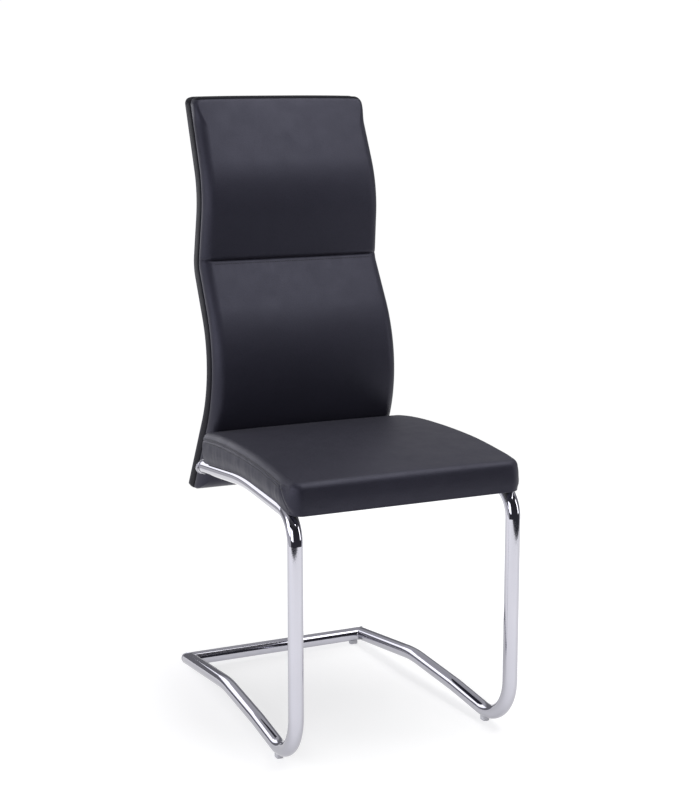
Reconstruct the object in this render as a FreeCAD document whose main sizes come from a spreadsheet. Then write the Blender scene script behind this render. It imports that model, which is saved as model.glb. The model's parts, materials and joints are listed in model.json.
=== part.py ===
import FreeCAD, Part
import os, math
from FreeCAD import Vector as V, Placement, Rotation
import Sketcher

# Cantilever dining chair.  Millimetres, +Z up, front of the chair towards -Y,
# symmetric about X = 0, origin on the floor under the middle of the chair.
#
# Construction: two bent steel tubes (floor rail, floor bend, front leg, top
# bend, seat rail) joined by a rear floor tube.  Two cross tubes carry the
# curved seat board.  Each seat rail ends in a disc with a bracket that goes
# into the backrest and is bolted to its curved board.  Seat and backrest are
# upholstered: board, foam, covers, side bands, underside closing pieces.

doc = FreeCAD.newDocument("cantilever_chair")
sh = doc.addObject("Spreadsheet::Sheet", "Sizes")

SIZES = [
    # chrome tube frame, side view (distance behind the origin, height)
    ("tube_od", 25.0), ("tube_wall", 1.6),
    ("toe_slope", 0.0345),          # side frames converge towards the rear
    ("half_ref", 193.4),            # half width of the frame at ref_back
    ("ref_back", -186.1),
    ("base_rear", 266.6), ("base_level", 18.5),
    ("arch_back", 55.0), ("arch_hgt", 41.4), ("arch_rad", 260.0),
    ("arch_front", -97.1), ("arch_fhgt", 30.1), ("arch_frad", 200.0),
    ("leg_back", -274.1), ("leg_low", 8.8), ("low_bend", 77.5),
    ("leg_top", 424.1), ("top_bend", 48.0),
    ("crest_back", -51.3), ("crest_hgt", 435.4), ("crest_rad", 600.0),
    ("rail_back", 168.9), ("rail_hgt", 412.0),
    # seat, heights measured square to the rail line
    ("seat_gap", 0.8), ("dust_thk", 0.6), ("board_thk", 12.0),
    ("foam_thk", 34.2), ("cover_thk", 1.2),
    ("seat_front", -288.1), ("seat_rear", 129.9),
    ("seat_half", 206.2), ("seat_taper", 0.030), ("seat_corner", 22.0), ("seat_rcorner", 12.0),
    ("bar_wid", 30.0), ("bar_hgt", 15.0), ("bar_wall", 1.5),
    ("bar_front", -171.1), ("bar_rear", 58.9),
    # backrest, side view of the rear surface
    ("back_low", 362.0), ("back_high", 1061.0),
    ("back_half", 172.0), ("back_taper", 0.028), ("back_ref", 776.0),
    ("pad_thk", 3.0), ("back_board", 10.0), ("back_thk", 51.0),
    ("back_corner", 14.0),
    # brackets and discs at the rear ends of the seat rails
    ("disc_dia", 32.0), ("disc_thk", 3.0),
    ("plate_thk", 4.0), ("plate_wid", 28.0), ("web_thk", 8.0), ("web_hgt", 24.0),
    # fasteners and glides
    ("bolt_dia", 6.0), ("glide_len", 16.0), ("glide_wid", 12.0), ("glide_hgt", 6.0),
    ("glide_rear", 162.0),
]
for i, (name, value) in enumerate(SIZES, 1):
    sh.set("A%d" % i, name)
    sh.set("B%d" % i, repr(float(value)))
    sh.setAlias("B%d" % i, name)
doc.recompute()


def S(name):
    return float(getattr(sh, name))


nodes = []          # (object, node name) in order


def node(obj, name):
    obj.Label = name
    nodes.append((obj, name))
    return obj


# ----------------------------------------------------------------------------
# chains of straight runs joined by tangent arcs, in the side view (y, z)
# ----------------------------------------------------------------------------
def chain(pts, rad):
    """Polygon corners and fillet radii -> list of ('line', a, b) and
    ('arc', a, b, centre, radius, turn) where turn is +1 for a left turn."""
    segs = []
    prev = pts[0]
    for i in range(1, len(pts) - 1):
        a, b, c = pts[i - 1], pts[i], pts[i + 1]
        ux, uy = a[0] - b[0], a[1] - b[1]
        vx, vy = c[0] - b[0], c[1] - b[1]
        lu, lv = math.hypot(ux, uy), math.hypot(vx, vy)
        ux, uy, vx, vy = ux / lu, uy / lu, vx / lv, vy / lv
        ang = math.acos(max(-1.0, min(1.0, ux * vx + uy * vy)))
        r = rad[i - 1]
        t = r / math.tan(ang / 2.0)
        p1 = (b[0] + ux * t, b[1] + uy * t)
        p2 = (b[0] + vx * t, b[1] + vy * t)
        bx, by = ux + vx, uy + vy
        lb = math.hypot(bx, by)
        cc = (b[0] + bx / lb * r / math.sin(ang / 2.0), b[1] + by / lb * r / math.sin(ang / 2.0))
        turn = 1.0 if (-ux) * vy - (-uy) * vx > 0 else -1.0
        segs.append(("line", prev, p1))
        segs.append(("arc", p1, p2, cc, r, turn))
        prev = p2
    segs.append(("line", prev, pts[-1]))
    return segs


def shift(segs, d):
    """Offset a chain by d to its left side (left of the direction of travel)."""
    out = []
    for s in segs:
        if s[0] == "line":
            (x0, y0), (x1, y1) = s[1], s[2]
            l = math.hypot(x1 - x0, y1 - y0)
            nx, ny = -(y1 - y0) / l * d, (x1 - x0) / l * d
            out.append(("line", (x0 + nx, y0 + ny), (x1 + nx, y1 + ny)))
        else:
            _, a, b, c, r, turn = s
            r2 = r - turn * d
            k = r2 / r
            out.append(("arc", (c[0] + (a[0] - c[0]) * k, c[1] + (a[1] - c[1]) * k),
                        (c[0] + (b[0] - c[0]) * k, c[1] + (b[1] - c[1]) * k), c, r2, turn))
    return out


def trim(segs, axis, lo=None, hi=None):
    """Move the chain's first and last point, both on straight runs, along their
    runs to the given coordinate (axis 0 = y, 1 = z)."""
    segs = list(segs)
    for i, val in ((0, lo), (-1, hi)):
        if val is None:
            continue
        _, a, b = segs[i]
        t = (val - a[axis]) / (b[axis] - a[axis])
        p = (a[0] + (b[0] - a[0]) * t, a[1] + (b[1] - a[1]) * t)
        segs[i] = ("line", p, b) if i == 0 else ("line", a, p)
    return segs


def split_arc(segs, index):
    """Split the chain in the middle of one arc; returns lower and upper parts."""
    _, a, b, c, r, turn = segs[index]
    a0 = math.atan2(a[1] - c[1], a[0] - c[0])
    a1 = math.atan2(b[1] - c[1], b[0] - c[0])
    d = (a1 - a0 + math.pi) % (2 * math.pi) - math.pi
    m = (c[0] + r * math.cos(a0 + d / 2), c[1] + r * math.sin(a0 + d / 2))
    return (segs[:index] + [("arc", a, m, c, r, turn)], [("arc", m, b, c, r, turn)] + segs[index + 1:])


def reverse(segs):
    out = []
    for s in reversed(segs):
        if s[0] == "line":
            out.append(("line", s[2], s[1]))
        else:
            out.append(("arc", s[2], s[1], s[3], s[4], -s[5]))
    return out


def closed(lower, upper):
    """Closed outline from a chain and a second chain above or in front of it."""
    up = reverse(upper)
    return lower + [("line", lower[-1][2], up[0][1])] + up + [("line", up[-1][2], lower[0][1])]


# ----------------------------------------------------------------------------
# bodies and sketches
# ----------------------------------------------------------------------------
def plane(body, role):
    return [f for f in body.Origin.OriginFeatures if f.Role == role][0]


def body_of(name):
    return doc.addObject("PartDesign::Body", name)


def sketch_on(body, name, role, offset=None):
    sk = body.newObject("Sketcher::SketchObject", name)
    sk.AttachmentSupport = [(plane(body, role), "")]
    sk.MapMode = "FlatFace"
    if offset is not None:
        sk.AttachmentOffset = offset
    return sk


def draw(sk, segs, to2=lambda p: p):
    """Lines and arcs into a sketch, ends joined, every corner point pinned."""
    ids = []
    for s in segs:
        a, b = to2(s[1]), to2(s[2])
        if s[0] == "line":
            g = Part.LineSegment(V(a[0], a[1], 0), V(b[0], b[1], 0))
        else:
            c = to2(s[3])
            r = s[4]
            a0 = math.atan2(a[1] - c[1], a[0] - c[0])
            a1 = math.atan2(b[1] - c[1], b[0] - c[0])
            d = (a1 - a0 + math.pi) % (2 * math.pi) - math.pi
            m = V(c[0] + r * math.cos(a0 + d / 2), c[1] + r * math.sin(a0 + d / 2), 0)
            g = Part.Arc(V(a[0], a[1], 0), m, V(b[0], b[1], 0))
        ids.append(sk.addGeometry(g, False))
    return ids


def pin(sk, gid, pos, xy, xname=None, yname=None):
    """Distance of a point from the sketch axes; named ones are bound to the sheet."""
    for kind, val, nm in (("DistanceX", xy[0], xname), ("DistanceY", xy[1], yname)):
        if nm is None:
            continue
        c = sk.addConstraint(Sketcher.Constraint(kind, -1, 1, gid, pos, val))
        sk.renameConstraint(c, nm[0])
        sk.setExpression("Constraints." + nm[0], nm[1])


# side view sketches lie on the YZ plane: sketch x = world y, sketch y = world z
def pad(body, sk, length_expr, name, midplane=True):
    p = body.newObject("PartDesign::Pad", name)
    p.Profile = sk
    if midplane:
        p.SideType = "Symmetric" if hasattr(p, "SideType") else p.Midplane
    p.setExpression("Length", length_expr)
    return p


def symmetric_pad(body, sk, length_expr, name):
    p = body.newObject("PartDesign::Pad", name)
    p.Profile = sk
    try:
        p.SideType = "Symmetric"
    except Exception:
        p.Midplane = True
    p.setExpression("Length", length_expr)
    return p


def through_pocket(body, sk, name):
    p = body.newObject("PartDesign::Pocket", name)
    p.Profile = sk
    p.Type = "ThroughAll"
    try:
        p.SideType = "Symmetric"
    except Exception:
        p.Midplane = True
    return p


# ----------------------------------------------------------------------------
# the tube line
# ----------------------------------------------------------------------------
tube_r = S("tube_od") / 2.0
rail_pts = [
    (S("base_rear"), S("base_level")),
    (S("arch_back"), S("arch_hgt")),
    (S("arch_front"), S("arch_fhgt")),
    (S("leg_back"), S("leg_low")),
    (S("leg_back"), S("leg_top")),
    (S("crest_back"), S("crest_hgt")),
    (S("rail_back"), S("rail_hgt")),
]
rail_rad = [S("arch_rad"), S("arch_frad"), S("low_bend"), S("top_bend"), S("crest_rad")]


def tilt(a, b):
    return math.atan2(b[1] - a[1], b[0] - a[0])


# seat line: the straight - arc - straight part of the rail under the seat,
# drawn from the front to the rear and shifted up for every layer
seat_line = chain([rail_pts[4], rail_pts[5], rail_pts[6]], [S("crest_rad")])
front_tilt = tilt(rail_pts[4], rail_pts[5])
rear_tilt = tilt(rail_pts[5], rail_pts[6])


def seat_curve(h, y0, y1):
    return trim(shift(seat_line, h), 0, y0, y1)


# rear surface of the backrest, bottom to top; the front lies to the left
back_pts = [(248.1, 362.0), (134.5, 584.3), (232.4, 762.3), (215.0, 892.9), (289.0, 1062.0)]
back_rad = [192.0, 66.0, 146.0]
back_line = chain(back_pts, back_rad)
low_tilt = tilt(back_pts[0], back_pts[1])          # direction up along the lower run
up_dir = V(0, math.cos(low_tilt), math.sin(low_tilt))
out_dir = V(0, -math.sin(low_tilt), math.cos(low_tilt))   # left of up_dir = forward


def back_curve(d, z0=None, z1=None):
    return trim(shift(back_line, d), 1, z0, z1)


def face_point(d):
    """A point of the lower run of the backrest, d in front of its rear surface."""
    s = back_curve(d)[0]
    return V(0, s[1][0], s[1][1])


# where the seat rail meets the front face of the disc
def rail_hits(d):
    p0 = V(0, rail_pts[5][0], rail_pts[5][1])
    dr = V(0, math.cos(rear_tilt), math.sin(rear_tilt))
    f = face_point(d)
    t = (f - p0).dot(out_dir) / dr.dot(out_dir)
    return p0 + dr * t


d_front = S("back_thk")
disc_back = rail_hits(d_front)                      # on the front of the backrest
disc_front = rail_hits(d_front + S("disc_thk"))
rail_over = rail_hits(d_front - 25.0)               # path runs on, then is cut


def half_at(y):
    return S("half_ref") - S("toe_slope") * (y - S("ref_back"))


toe_ang = math.degrees(math.atan(S("toe_slope")))


# ----------------------------------------------------------------------------
# side tubes: swept along the bent line, in a vertical plane that is toed in
# ----------------------------------------------------------------------------
def side_place(side):
    """The side-view plane x = 0 goes to the toed-in plane of the left (-1) or
    right (+1) tube; y is kept along the line."""
    n = 1.0 / math.cos(math.radians(toe_ang))
    rot = Rotation(V(0, 0, 1), side * toe_ang)
    off = V(side * half_at(0.0), 0, 0)
    return Placement(off, rot), n


# along the toed plane the distances in y stretch by 1 / cos(toe), which is
# taken into the path so that seen from the side every point keeps its y
stretch = 1.0 / math.cos(math.radians(toe_ang))
over = 30.0
a_dir = tilt(rail_pts[0], rail_pts[1])
start = (rail_pts[0][0] - over * math.cos(a_dir), rail_pts[0][1] - over * math.sin(a_dir))
path_pts = [start] + rail_pts[1:6] + [(rail_over.y, rail_over.z)]
path_pts = [(p[0] * stretch, p[1]) for p in path_pts]
path_segs = chain(path_pts, rail_rad)


def tube_body(name, side, hollow):
    b = body_of(name)
    path = sketch_on(b, name + "_path", "YZ_Plane")
    ids = draw(path, path_segs)
    for i in range(len(ids) - 1):
        path.addConstraint(Sketcher.Constraint("Coincident", ids[i], 2 if path_segs[i][0] == "line" else
                                               (2 if path_segs[i][5] > 0 else 1),
                                               ids[i + 1], 1 if path_segs[i + 1][0] == "line" else
                                               (1 if path_segs[i + 1][5] > 0 else 2)))
    # the leg is upright and stands at its sheet position
    leg = ids[6]
    path.addConstraint(Sketcher.Constraint("Vertical", leg))
    k = path.addConstraint(Sketcher.Constraint("DistanceX", -1, 1, leg, 1, path_segs[6][1][0]))
    path.renameConstraint(k, "leg")
    path.setExpression("Constraints.leg", "%s.leg_back * %.12f" % (sh.Name, stretch))
    for gi, nm in ((5, "low_bend"), (7, "top_bend"), (9, "crest_rad")):
        k = path.addConstraint(Sketcher.Constraint("Radius", ids[gi], path_segs[gi][4]))
        path.renameConstraint(k, nm)
        path.setExpression("Constraints." + nm, "%s.%s" % (sh.Name, nm))
    prof = b.newObject("Sketcher::SketchObject", name + "_ring")
    s0 = path_segs[0]
    d0 = tilt(s0[1], s0[2])
    # the section plane is square to the first run
    prof.AttachmentSupport = [(plane(b, "XZ_Plane"), "")]
    prof.MapMode = "FlatFace"
    ang = math.degrees(d0) - 180.0
    # XZ plane: its normal is -y; turned about x by the run's slope
    prof.AttachmentOffset = Placement(V(0, s0[1][1], -s0[1][0]), Rotation(V(1, 0, 0), ang))
    prof.addGeometry(Part.Circle(V(0, 0, 0), V(0, 0, 1), tube_r), False)
    prof.addConstraint(Sketcher.Constraint("Coincident", 0, 3, -1, 1))
    k = prof.addConstraint(Sketcher.Constraint("Diameter", 0, 2 * tube_r))
    prof.renameConstraint(k, "outside")
    prof.setExpression("Constraints.outside", sh.Name + ".tube_od")
    if hollow:
        prof.addGeometry(Part.Circle(V(0, 0, 0), V(0, 0, 1), tube_r - S("tube_wall")), False)
        prof.addConstraint(Sketcher.Constraint("Coincident", 1, 3, -1, 1))
        k = prof.addConstraint(Sketcher.Constraint("Diameter", 1, 2 * (tube_r - S("tube_wall"))))
        prof.renameConstraint(k, "inside")
        prof.setExpression("Constraints.inside", "%s.tube_od - 2 * %s.tube_wall" % (sh.Name, sh.Name))
    doc.recompute()
    sweep = b.newObject("PartDesign::AdditivePipe", name + "_sweep")
    sweep.Profile = prof
    sweep.Spine = (path, ["Edge%d" % (i + 1) for i in range(len(path_segs))])
    sweep.Mode = "Standard"
    sweep.Transition = "Transformed"
    doc.recompute()
    b.Placement = side_place(side)[0]
    return b


def cyl(name, dia_expr, length_expr, place):
    c = doc.addObject("Part::Cylinder", name)
    c.setExpression("Radius", dia_expr)
    c.setExpression("Height", length_expr)
    c.Placement = place
    return c


def box(name, lx, ly, lz, place):
    """Box centred on its placement; each length is a number or an expression."""
    b = doc.addObject("Part::Box", name)
    vals = []
    for prop, val in (("Length", lx), ("Width", ly), ("Height", lz)):
        if isinstance(val, str):
            b.setExpression(prop, val)
            vals.append(None)
        else:
            setattr(b, prop, val)
            vals.append(val)
    doc.recompute()
    shiftv = V(-b.Length.Value / 2, -b.Width.Value / 2, -b.Height.Value / 2)
    b.Placement = place.multiply(Placement(shiftv, Rotation()))
    return b


def cut(name, base, tools):
    c = base
    for i, t in enumerate(tools):
        k = doc.addObject("Part::Cut", "%s_cut%d" % (name, i + 1))
        k.Base = c
        k.Tool = t
        c = k
    return c


def fuse(name, parts):
    f = doc.addObject("Part::MultiFuse", name)
    f.Shapes = parts
    return f


def frame_rot(xv, yv, zv):
    m = FreeCAD.Matrix(xv.x, yv.x, zv.x, 0, xv.y, yv.y, zv.y, 0, xv.z, yv.z, zv.z, 0, 0, 0, 0, 1)
    return Placement(m).Rotation


SH = sh.Name
half_rear = half_at(S("base_rear"))
corner_z = S("base_level")


def mitre_box(name, side, keep_tube):
    """Large box on one side of the mitre plane in the rear floor corner."""
    pc = V(side * half_rear, S("base_rear"), corner_z)
    d_bar = V(-side, 0, 0)
    pl = side_place(side)[0]
    d_tube = pl.Rotation.multVec(V(0, math.cos(a_dir), math.sin(a_dir)))
    n = (d_bar - d_tube)
    n.normalize()
    # +n is the crossbar's side; the tool removes what is not kept
    if not keep_tube:
        n = n * -1.0
    xa = V(0, 0, 1)
    ya = n.cross(xa)
    ya.normalize()
    xa = ya.cross(n)
    rot = frame_rot(xa, ya, n)
    return box(name, 120.0, 120.0, 80.0, Placement(pc + n * 40.0, rot))


def disc_cut_box(name, side, d):
    """Large box behind the plane that lies d in front of the backrest's rear
    surface, at the end of one seat rail."""
    p = rail_hits(d)
    pc = V(side * half_at(p.y), p.y, p.z)
    n = out_dir * -1.0
    rot = frame_rot(V(1, 0, 0), n.cross(V(1, 0, 0)), n)
    return box(name, 120.0, 120.0, 80.0, Placement(pc + n * 40.0, rot))


SIDES = ((-1, "left"), (1, "right"))
envelope = {}
floor_y = None
for seg in chain(rail_pts, rail_rad):
    if seg[0] == "arc" and abs(seg[4] - S("low_bend")) < 1e-6:
        low_c = seg[3]
floor_y = low_c[0]
low_level = low_c[1] - S("low_bend")               # tube centre at its lowest point
print("lowest centre of the front bend %.2f, rear tube %.2f" % (low_level, S("base_level")))

for side, word in SIDES:
    env = tube_body("envelope_" + word, side, False)
    envelope[side] = env
    tb = tube_body("tube_" + word, side, True)
    peg = cyl("peg_hole_%s" % word, "%s.bolt_dia / 2 + 0.1" % SH, "12 mm",
              Placement(V(side * half_at(floor_y), floor_y, low_level - tube_r - 3.0), Rotation()))
    t = cut("side_tube_" + word, tb, [mitre_box("mitre_t_" + word, side, True),
                                      disc_cut_box("end_t_" + word, side, d_front + S("disc_thk")), peg])
    node(t, "side_tube_" + word)

# rear floor tube between the two mitres, with a hole above each rear glide
outer = cyl("floor_tube_out", SH + ".tube_od / 2", "2 * %s.half_ref + 40" % SH, Placement())
inner = cyl("floor_tube_in", "%s.tube_od / 2 - %s.tube_wall" % (SH, SH), "2 * %s.half_ref + 40" % SH, Placement())
for c in (outer, inner):
    c.Placement = Placement(V(-(S("half_ref") + 20.0), S("base_rear"), corner_z), Rotation(V(0, 1, 0), 90))
holes = [cyl("peg_hole_rear_%s" % w, "%s.bolt_dia / 2 + 0.1" % SH, "12 mm",
             Placement(V(s * S("glide_rear"), S("base_rear"), corner_z - tube_r - 3.0), Rotation())) for s, w in SIDES]
ft = cut("rear_floor_tube", outer, [inner, mitre_box("mitre_b_left", -1, False),
                                    mitre_box("mitre_b_right", 1, False)] + holes)
node(ft, "rear_floor_tube")

# ----------------------------------------------------------------------------
# glides: a moulded pad under the tube with a saddle and a peg
# ----------------------------------------------------------------------------
rear_env = cyl("floor_tube_envelope", SH + ".tube_od / 2", "2 * %s.half_ref + 40" % SH,
               Placement(V(-(S("half_ref") + 20.0), S("base_rear"), corner_z), Rotation(V(0, 1, 0), 90)))


def glide(name, x, y, centre_z, turn, env):
    h = centre_z - tube_r * 0.45
    padb = doc.addObject("Part::Box", name + "_block")
    padb.setExpression("Length", SH + ".glide_wid")
    padb.setExpression("Width", SH + ".glide_len")
    padb.Height = h
    doc.recompute()
    rot = Rotation(V(0, 0, 1), turn)
    padb.Placement = Placement(V(x, y, 0), rot).multiply(
        Placement(V(-S("glide_wid") / 2, -S("glide_len") / 2, 0), Rotation()))
    doc.recompute()
    rounded = doc.addObject("Part::Fillet", name + "_rounded")
    rounded.Base = padb
    upright = []
    for i, e in enumerate(padb.Shape.Edges, 1):
        d = e.Vertexes[0].Point - e.Vertexes[-1].Point
        if abs(d.x) < 1e-6 and abs(d.y) < 1e-6:
            upright.append((i, 4.0, 4.0))
    rounded.Edges = upright
    doc.recompute()
    saddle = cut(name + "_saddle", rounded, [env])
    pegc = cyl(name + "_peg", "%s.bolt_dia / 2" % SH, "%s.tube_wall + 4" % SH,
               Placement(V(x, y, centre_z - tube_r - 2.0), Rotation()))
    g = fuse(name, [saddle, pegc])
    node(g, name)


for side, word in SIDES:
    glide("front_glide_" + word, side * half_at(floor_y), floor_y, low_level, side * toe_ang, envelope[side])
for side, word in SIDES:
    glide("rear_glide_" + word, side * S("glide_rear"), S("base_rear"), S("base_level"), 90.0, rear_env)

# ----------------------------------------------------------------------------
# discs on the rail ends and the brackets that go into the backrest
# ----------------------------------------------------------------------------
web_cut = {}
plate_tools = []
plate_u = (-50.0, 40.0)                    # plate length along the lower run
bolt_u = (-38.0, 28.0)
for side, word in SIDES:
    pc = V(side * half_at(disc_back.y), disc_back.y, disc_back.z)
    rot = frame_rot(V(1, 0, 0), out_dir.cross(V(1, 0, 0)), out_dir)
    disc = cyl("disc_%s" % word, SH + ".disc_dia / 2", SH + ".disc_thk", Placement(pc, rot))
    doc.recompute()
    rim = doc.addObject("Part::Fillet", "disc_rim_%s" % word)
    rim.Base = disc
    rim.Edges = [(i, 1.0, 1.0) for i, e in enumerate(disc.Shape.Edges, 1)
                 if e.Closed and (e.CenterOfMass - pc).dot(out_dir) > S("disc_thk") - 0.1]
    node(rim, "rail_end_disc_" + word)
    # bracket: web on the inner half of the disc, plate on the board
    xw = pc.x - side * 9.0
    back_d = S("pad_thk") + S("cover_thk") + S("back_board")
    reach = d_front - back_d - S("plate_thk")
    wc = V(xw, pc.y, pc.z) - out_dir * (reach / 2.0)
    web = box("web_%s" % word, SH + ".web_thk", SH + ".web_hgt", reach,
              Placement(wc, frame_rot(V(1, 0, 0), out_dir.cross(V(1, 0, 0)), out_dir)))
    xp = xw - side * 8.0
    pu = (plate_u[0] + plate_u[1]) / 2.0
    plc = V(xp, pc.y, pc.z) - out_dir * (reach + S("plate_thk") / 2.0) + up_dir * pu
    plate = box("plate_%s" % word, SH + ".plate_wid", plate_u[1] - plate_u[0], SH + ".plate_thk",
                Placement(plc, frame_rot(V(1, 0, 0), out_dir.cross(V(1, 0, 0)), out_dir)))
    br = fuse("bracket_raw_" + word, [web, plate])
    bh = []
    for j, u in enumerate(bolt_u):
        c0 = V(xp, pc.y, pc.z) - out_dir * (reach + S("plate_thk") + 1.0) + up_dir * u
        bh.append(cyl("bracket_hole_%s%d" % (word, j), "%s.bolt_dia / 2 + 0.3" % SH, "%s.plate_thk + 2" % SH,
                      Placement(c0, frame_rot(V(1, 0, 0), out_dir.cross(V(1, 0, 0)), out_dir))))
    node(cut("back_bracket_" + word, br, bh), "back_bracket_" + word)
    web_cut[side] = (wc, plc, xp, pc, reach, xw)

# ----------------------------------------------------------------------------
# layered upholstered bodies: a side-view outline padded across the chair and
# then cut to its outline seen from the front (backrest) or from above (seat)
# ----------------------------------------------------------------------------
def join_ends(sk, ids, segs):
    n = len(ids)
    for i in range(n):
        j = (i + 1) % n
        e = 2 if segs[i][0] == "line" or segs[i][5] > 0 else 1
        s = 1 if segs[j][0] == "line" or segs[j][5] > 0 else 2
        sk.addConstraint(Sketcher.Constraint("Coincident", ids[i], e, ids[j], s))


def slab(name, segs, width_expr):
    b = body_of(name + "_body")
    sk = sketch_on(b, name + "_section", "YZ_Plane")
    ids = draw(sk, segs)
    join_ends(sk, ids, segs)
    for i, s in enumerate(segs):
        if s[0] == "arc":
            sk.addConstraint(Sketcher.Constraint("Radius", ids[i], s[4]))
    doc.recompute()
    p = symmetric_pad(b, sk, width_expr, name + "_pad")
    doc.recompute()
    return b


def poly_segs(pts):
    return [("line", pts[i], pts[(i + 1) % len(pts)]) for i in range(len(pts))]


def rounded_trapezoid(zl, zh, wl, wh, rc):
    """Front-view outline with rounded upper corners, counter-clockwise."""
    pts = [(-wl, zl), (wl, zl), (wh, zh), (-wh, zh)]
    if rc <= 0.01:
        return poly_segs(pts)
    body_chain = chain([pts[0], pts[1], pts[2], pts[3], pts[0]], [0.001, rc, rc])
    # drop the tiny fillet at the lower right corner again
    out = [("line", pts[0], pts[1]), ("line", pts[1], body_chain[2][2])]
    out.append(body_chain[3])
    out.append(body_chain[4])
    out.append(body_chain[5])
    out.append(("line", body_chain[5][2], pts[0]))
    return out


def keep_inside(b, name, role, segs, big):
    """Pocket away everything outside the outline."""
    sk = sketch_on(b, name, role)
    rect = poly_segs([(-big, big * -1.0), (big * 1.0, big * -1.0), (big, big * 1.4), (-big, big * 1.4)])
    ids = draw(sk, rect)
    join_ends(sk, ids, rect)
    ids = draw(sk, segs)
    join_ends(sk, ids, segs)
    for i, s in enumerate(segs):
        if s[0] == "arc":
            sk.addConstraint(Sketcher.Constraint("Radius", ids[i], s[4]))
    doc.recompute()
    pk = through_pocket(b, sk, name + "_pocket")
    doc.recompute()
    b.Tip = pk
    return b


def drop_inside(b, name, role, segs):
    sk = sketch_on(b, name, role)
    ids = draw(sk, segs)
    join_ends(sk, ids, segs)
    doc.recompute()
    pk = through_pocket(b, sk, name + "_pocket")
    doc.recompute()
    b.Tip = pk
    return b


# --- seat ---
h0 = tube_r + S("seat_gap")
h1 = h0 + S("dust_thk")
h2 = h1 + S("board_thk")
h3 = h2 + S("foam_thk")
h4 = h3 + S("cover_thk")
tk = S("cover_thk")
SF, SR = S("seat_front"), S("seat_rear")


def seat_half(y, inset):
    return S("seat_half") - S("seat_taper") * (y - S("ref_back")) - inset


def round_poly(pts, radii):
    """Closed polygon with a rounded corner at each point."""
    n = len(pts)
    mid = ((pts[0][0] + pts[-1][0]) / 2.0, (pts[0][1] + pts[-1][1]) / 2.0)
    return chain([mid] + list(pts) + [mid], radii)


def seat_outline(inset_side, inset_end):
    yf, yr = SF + inset_end, SR - inset_end
    rf, rr = S("seat_corner") - inset_side, S("seat_rcorner") - inset_side
    return round_poly([(-seat_half(yf, inset_side), yf), (seat_half(yf, inset_side), yf),
                       (seat_half(yr, inset_side), yr), (-seat_half(yr, inset_side), yr)], [rf, rf, rr, rr])


def seat_slab(name, a, b, inset, inset_end):
    segs = closed(seat_curve(a, SF - 8.0, SR + 8.0), seat_curve(b, SF - 8.0, SR + 8.0))
    s = slab(name, segs, "2 * %s.seat_half + 40" % SH)
    return keep_inside(s, name + "_plan", "XY_Plane", seat_outline(inset, inset_end), 420.0)


def seat_normal(tiltv):
    return V(0, -math.sin(tiltv), math.cos(tiltv))


def rail_point(y, tiltv, ref):
    """Point of the rail centre line at depth y, on a straight run."""
    return V(0, y, ref[1] + math.tan(tiltv) * (y - ref[0]))


dust = seat_slab("under_seat_cover", h0, h1, 8.0, 8.0)
sboard = seat_slab("seat_board", h1, h2, tk + 3.0, tk + 3.0)
sfoam_low = seat_slab("seat_foam_raw", h1, h3, tk, tk)
stop = seat_slab("seat_cover_top", h3, h4, 0.0, 0.0)
sbox = seat_slab("seat_side_band", h0, h3, 0.0, 0.0)
sbox = drop_inside(sbox, "seat_side_band_in", "XY_Plane", seat_outline(tk, tk))

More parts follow.
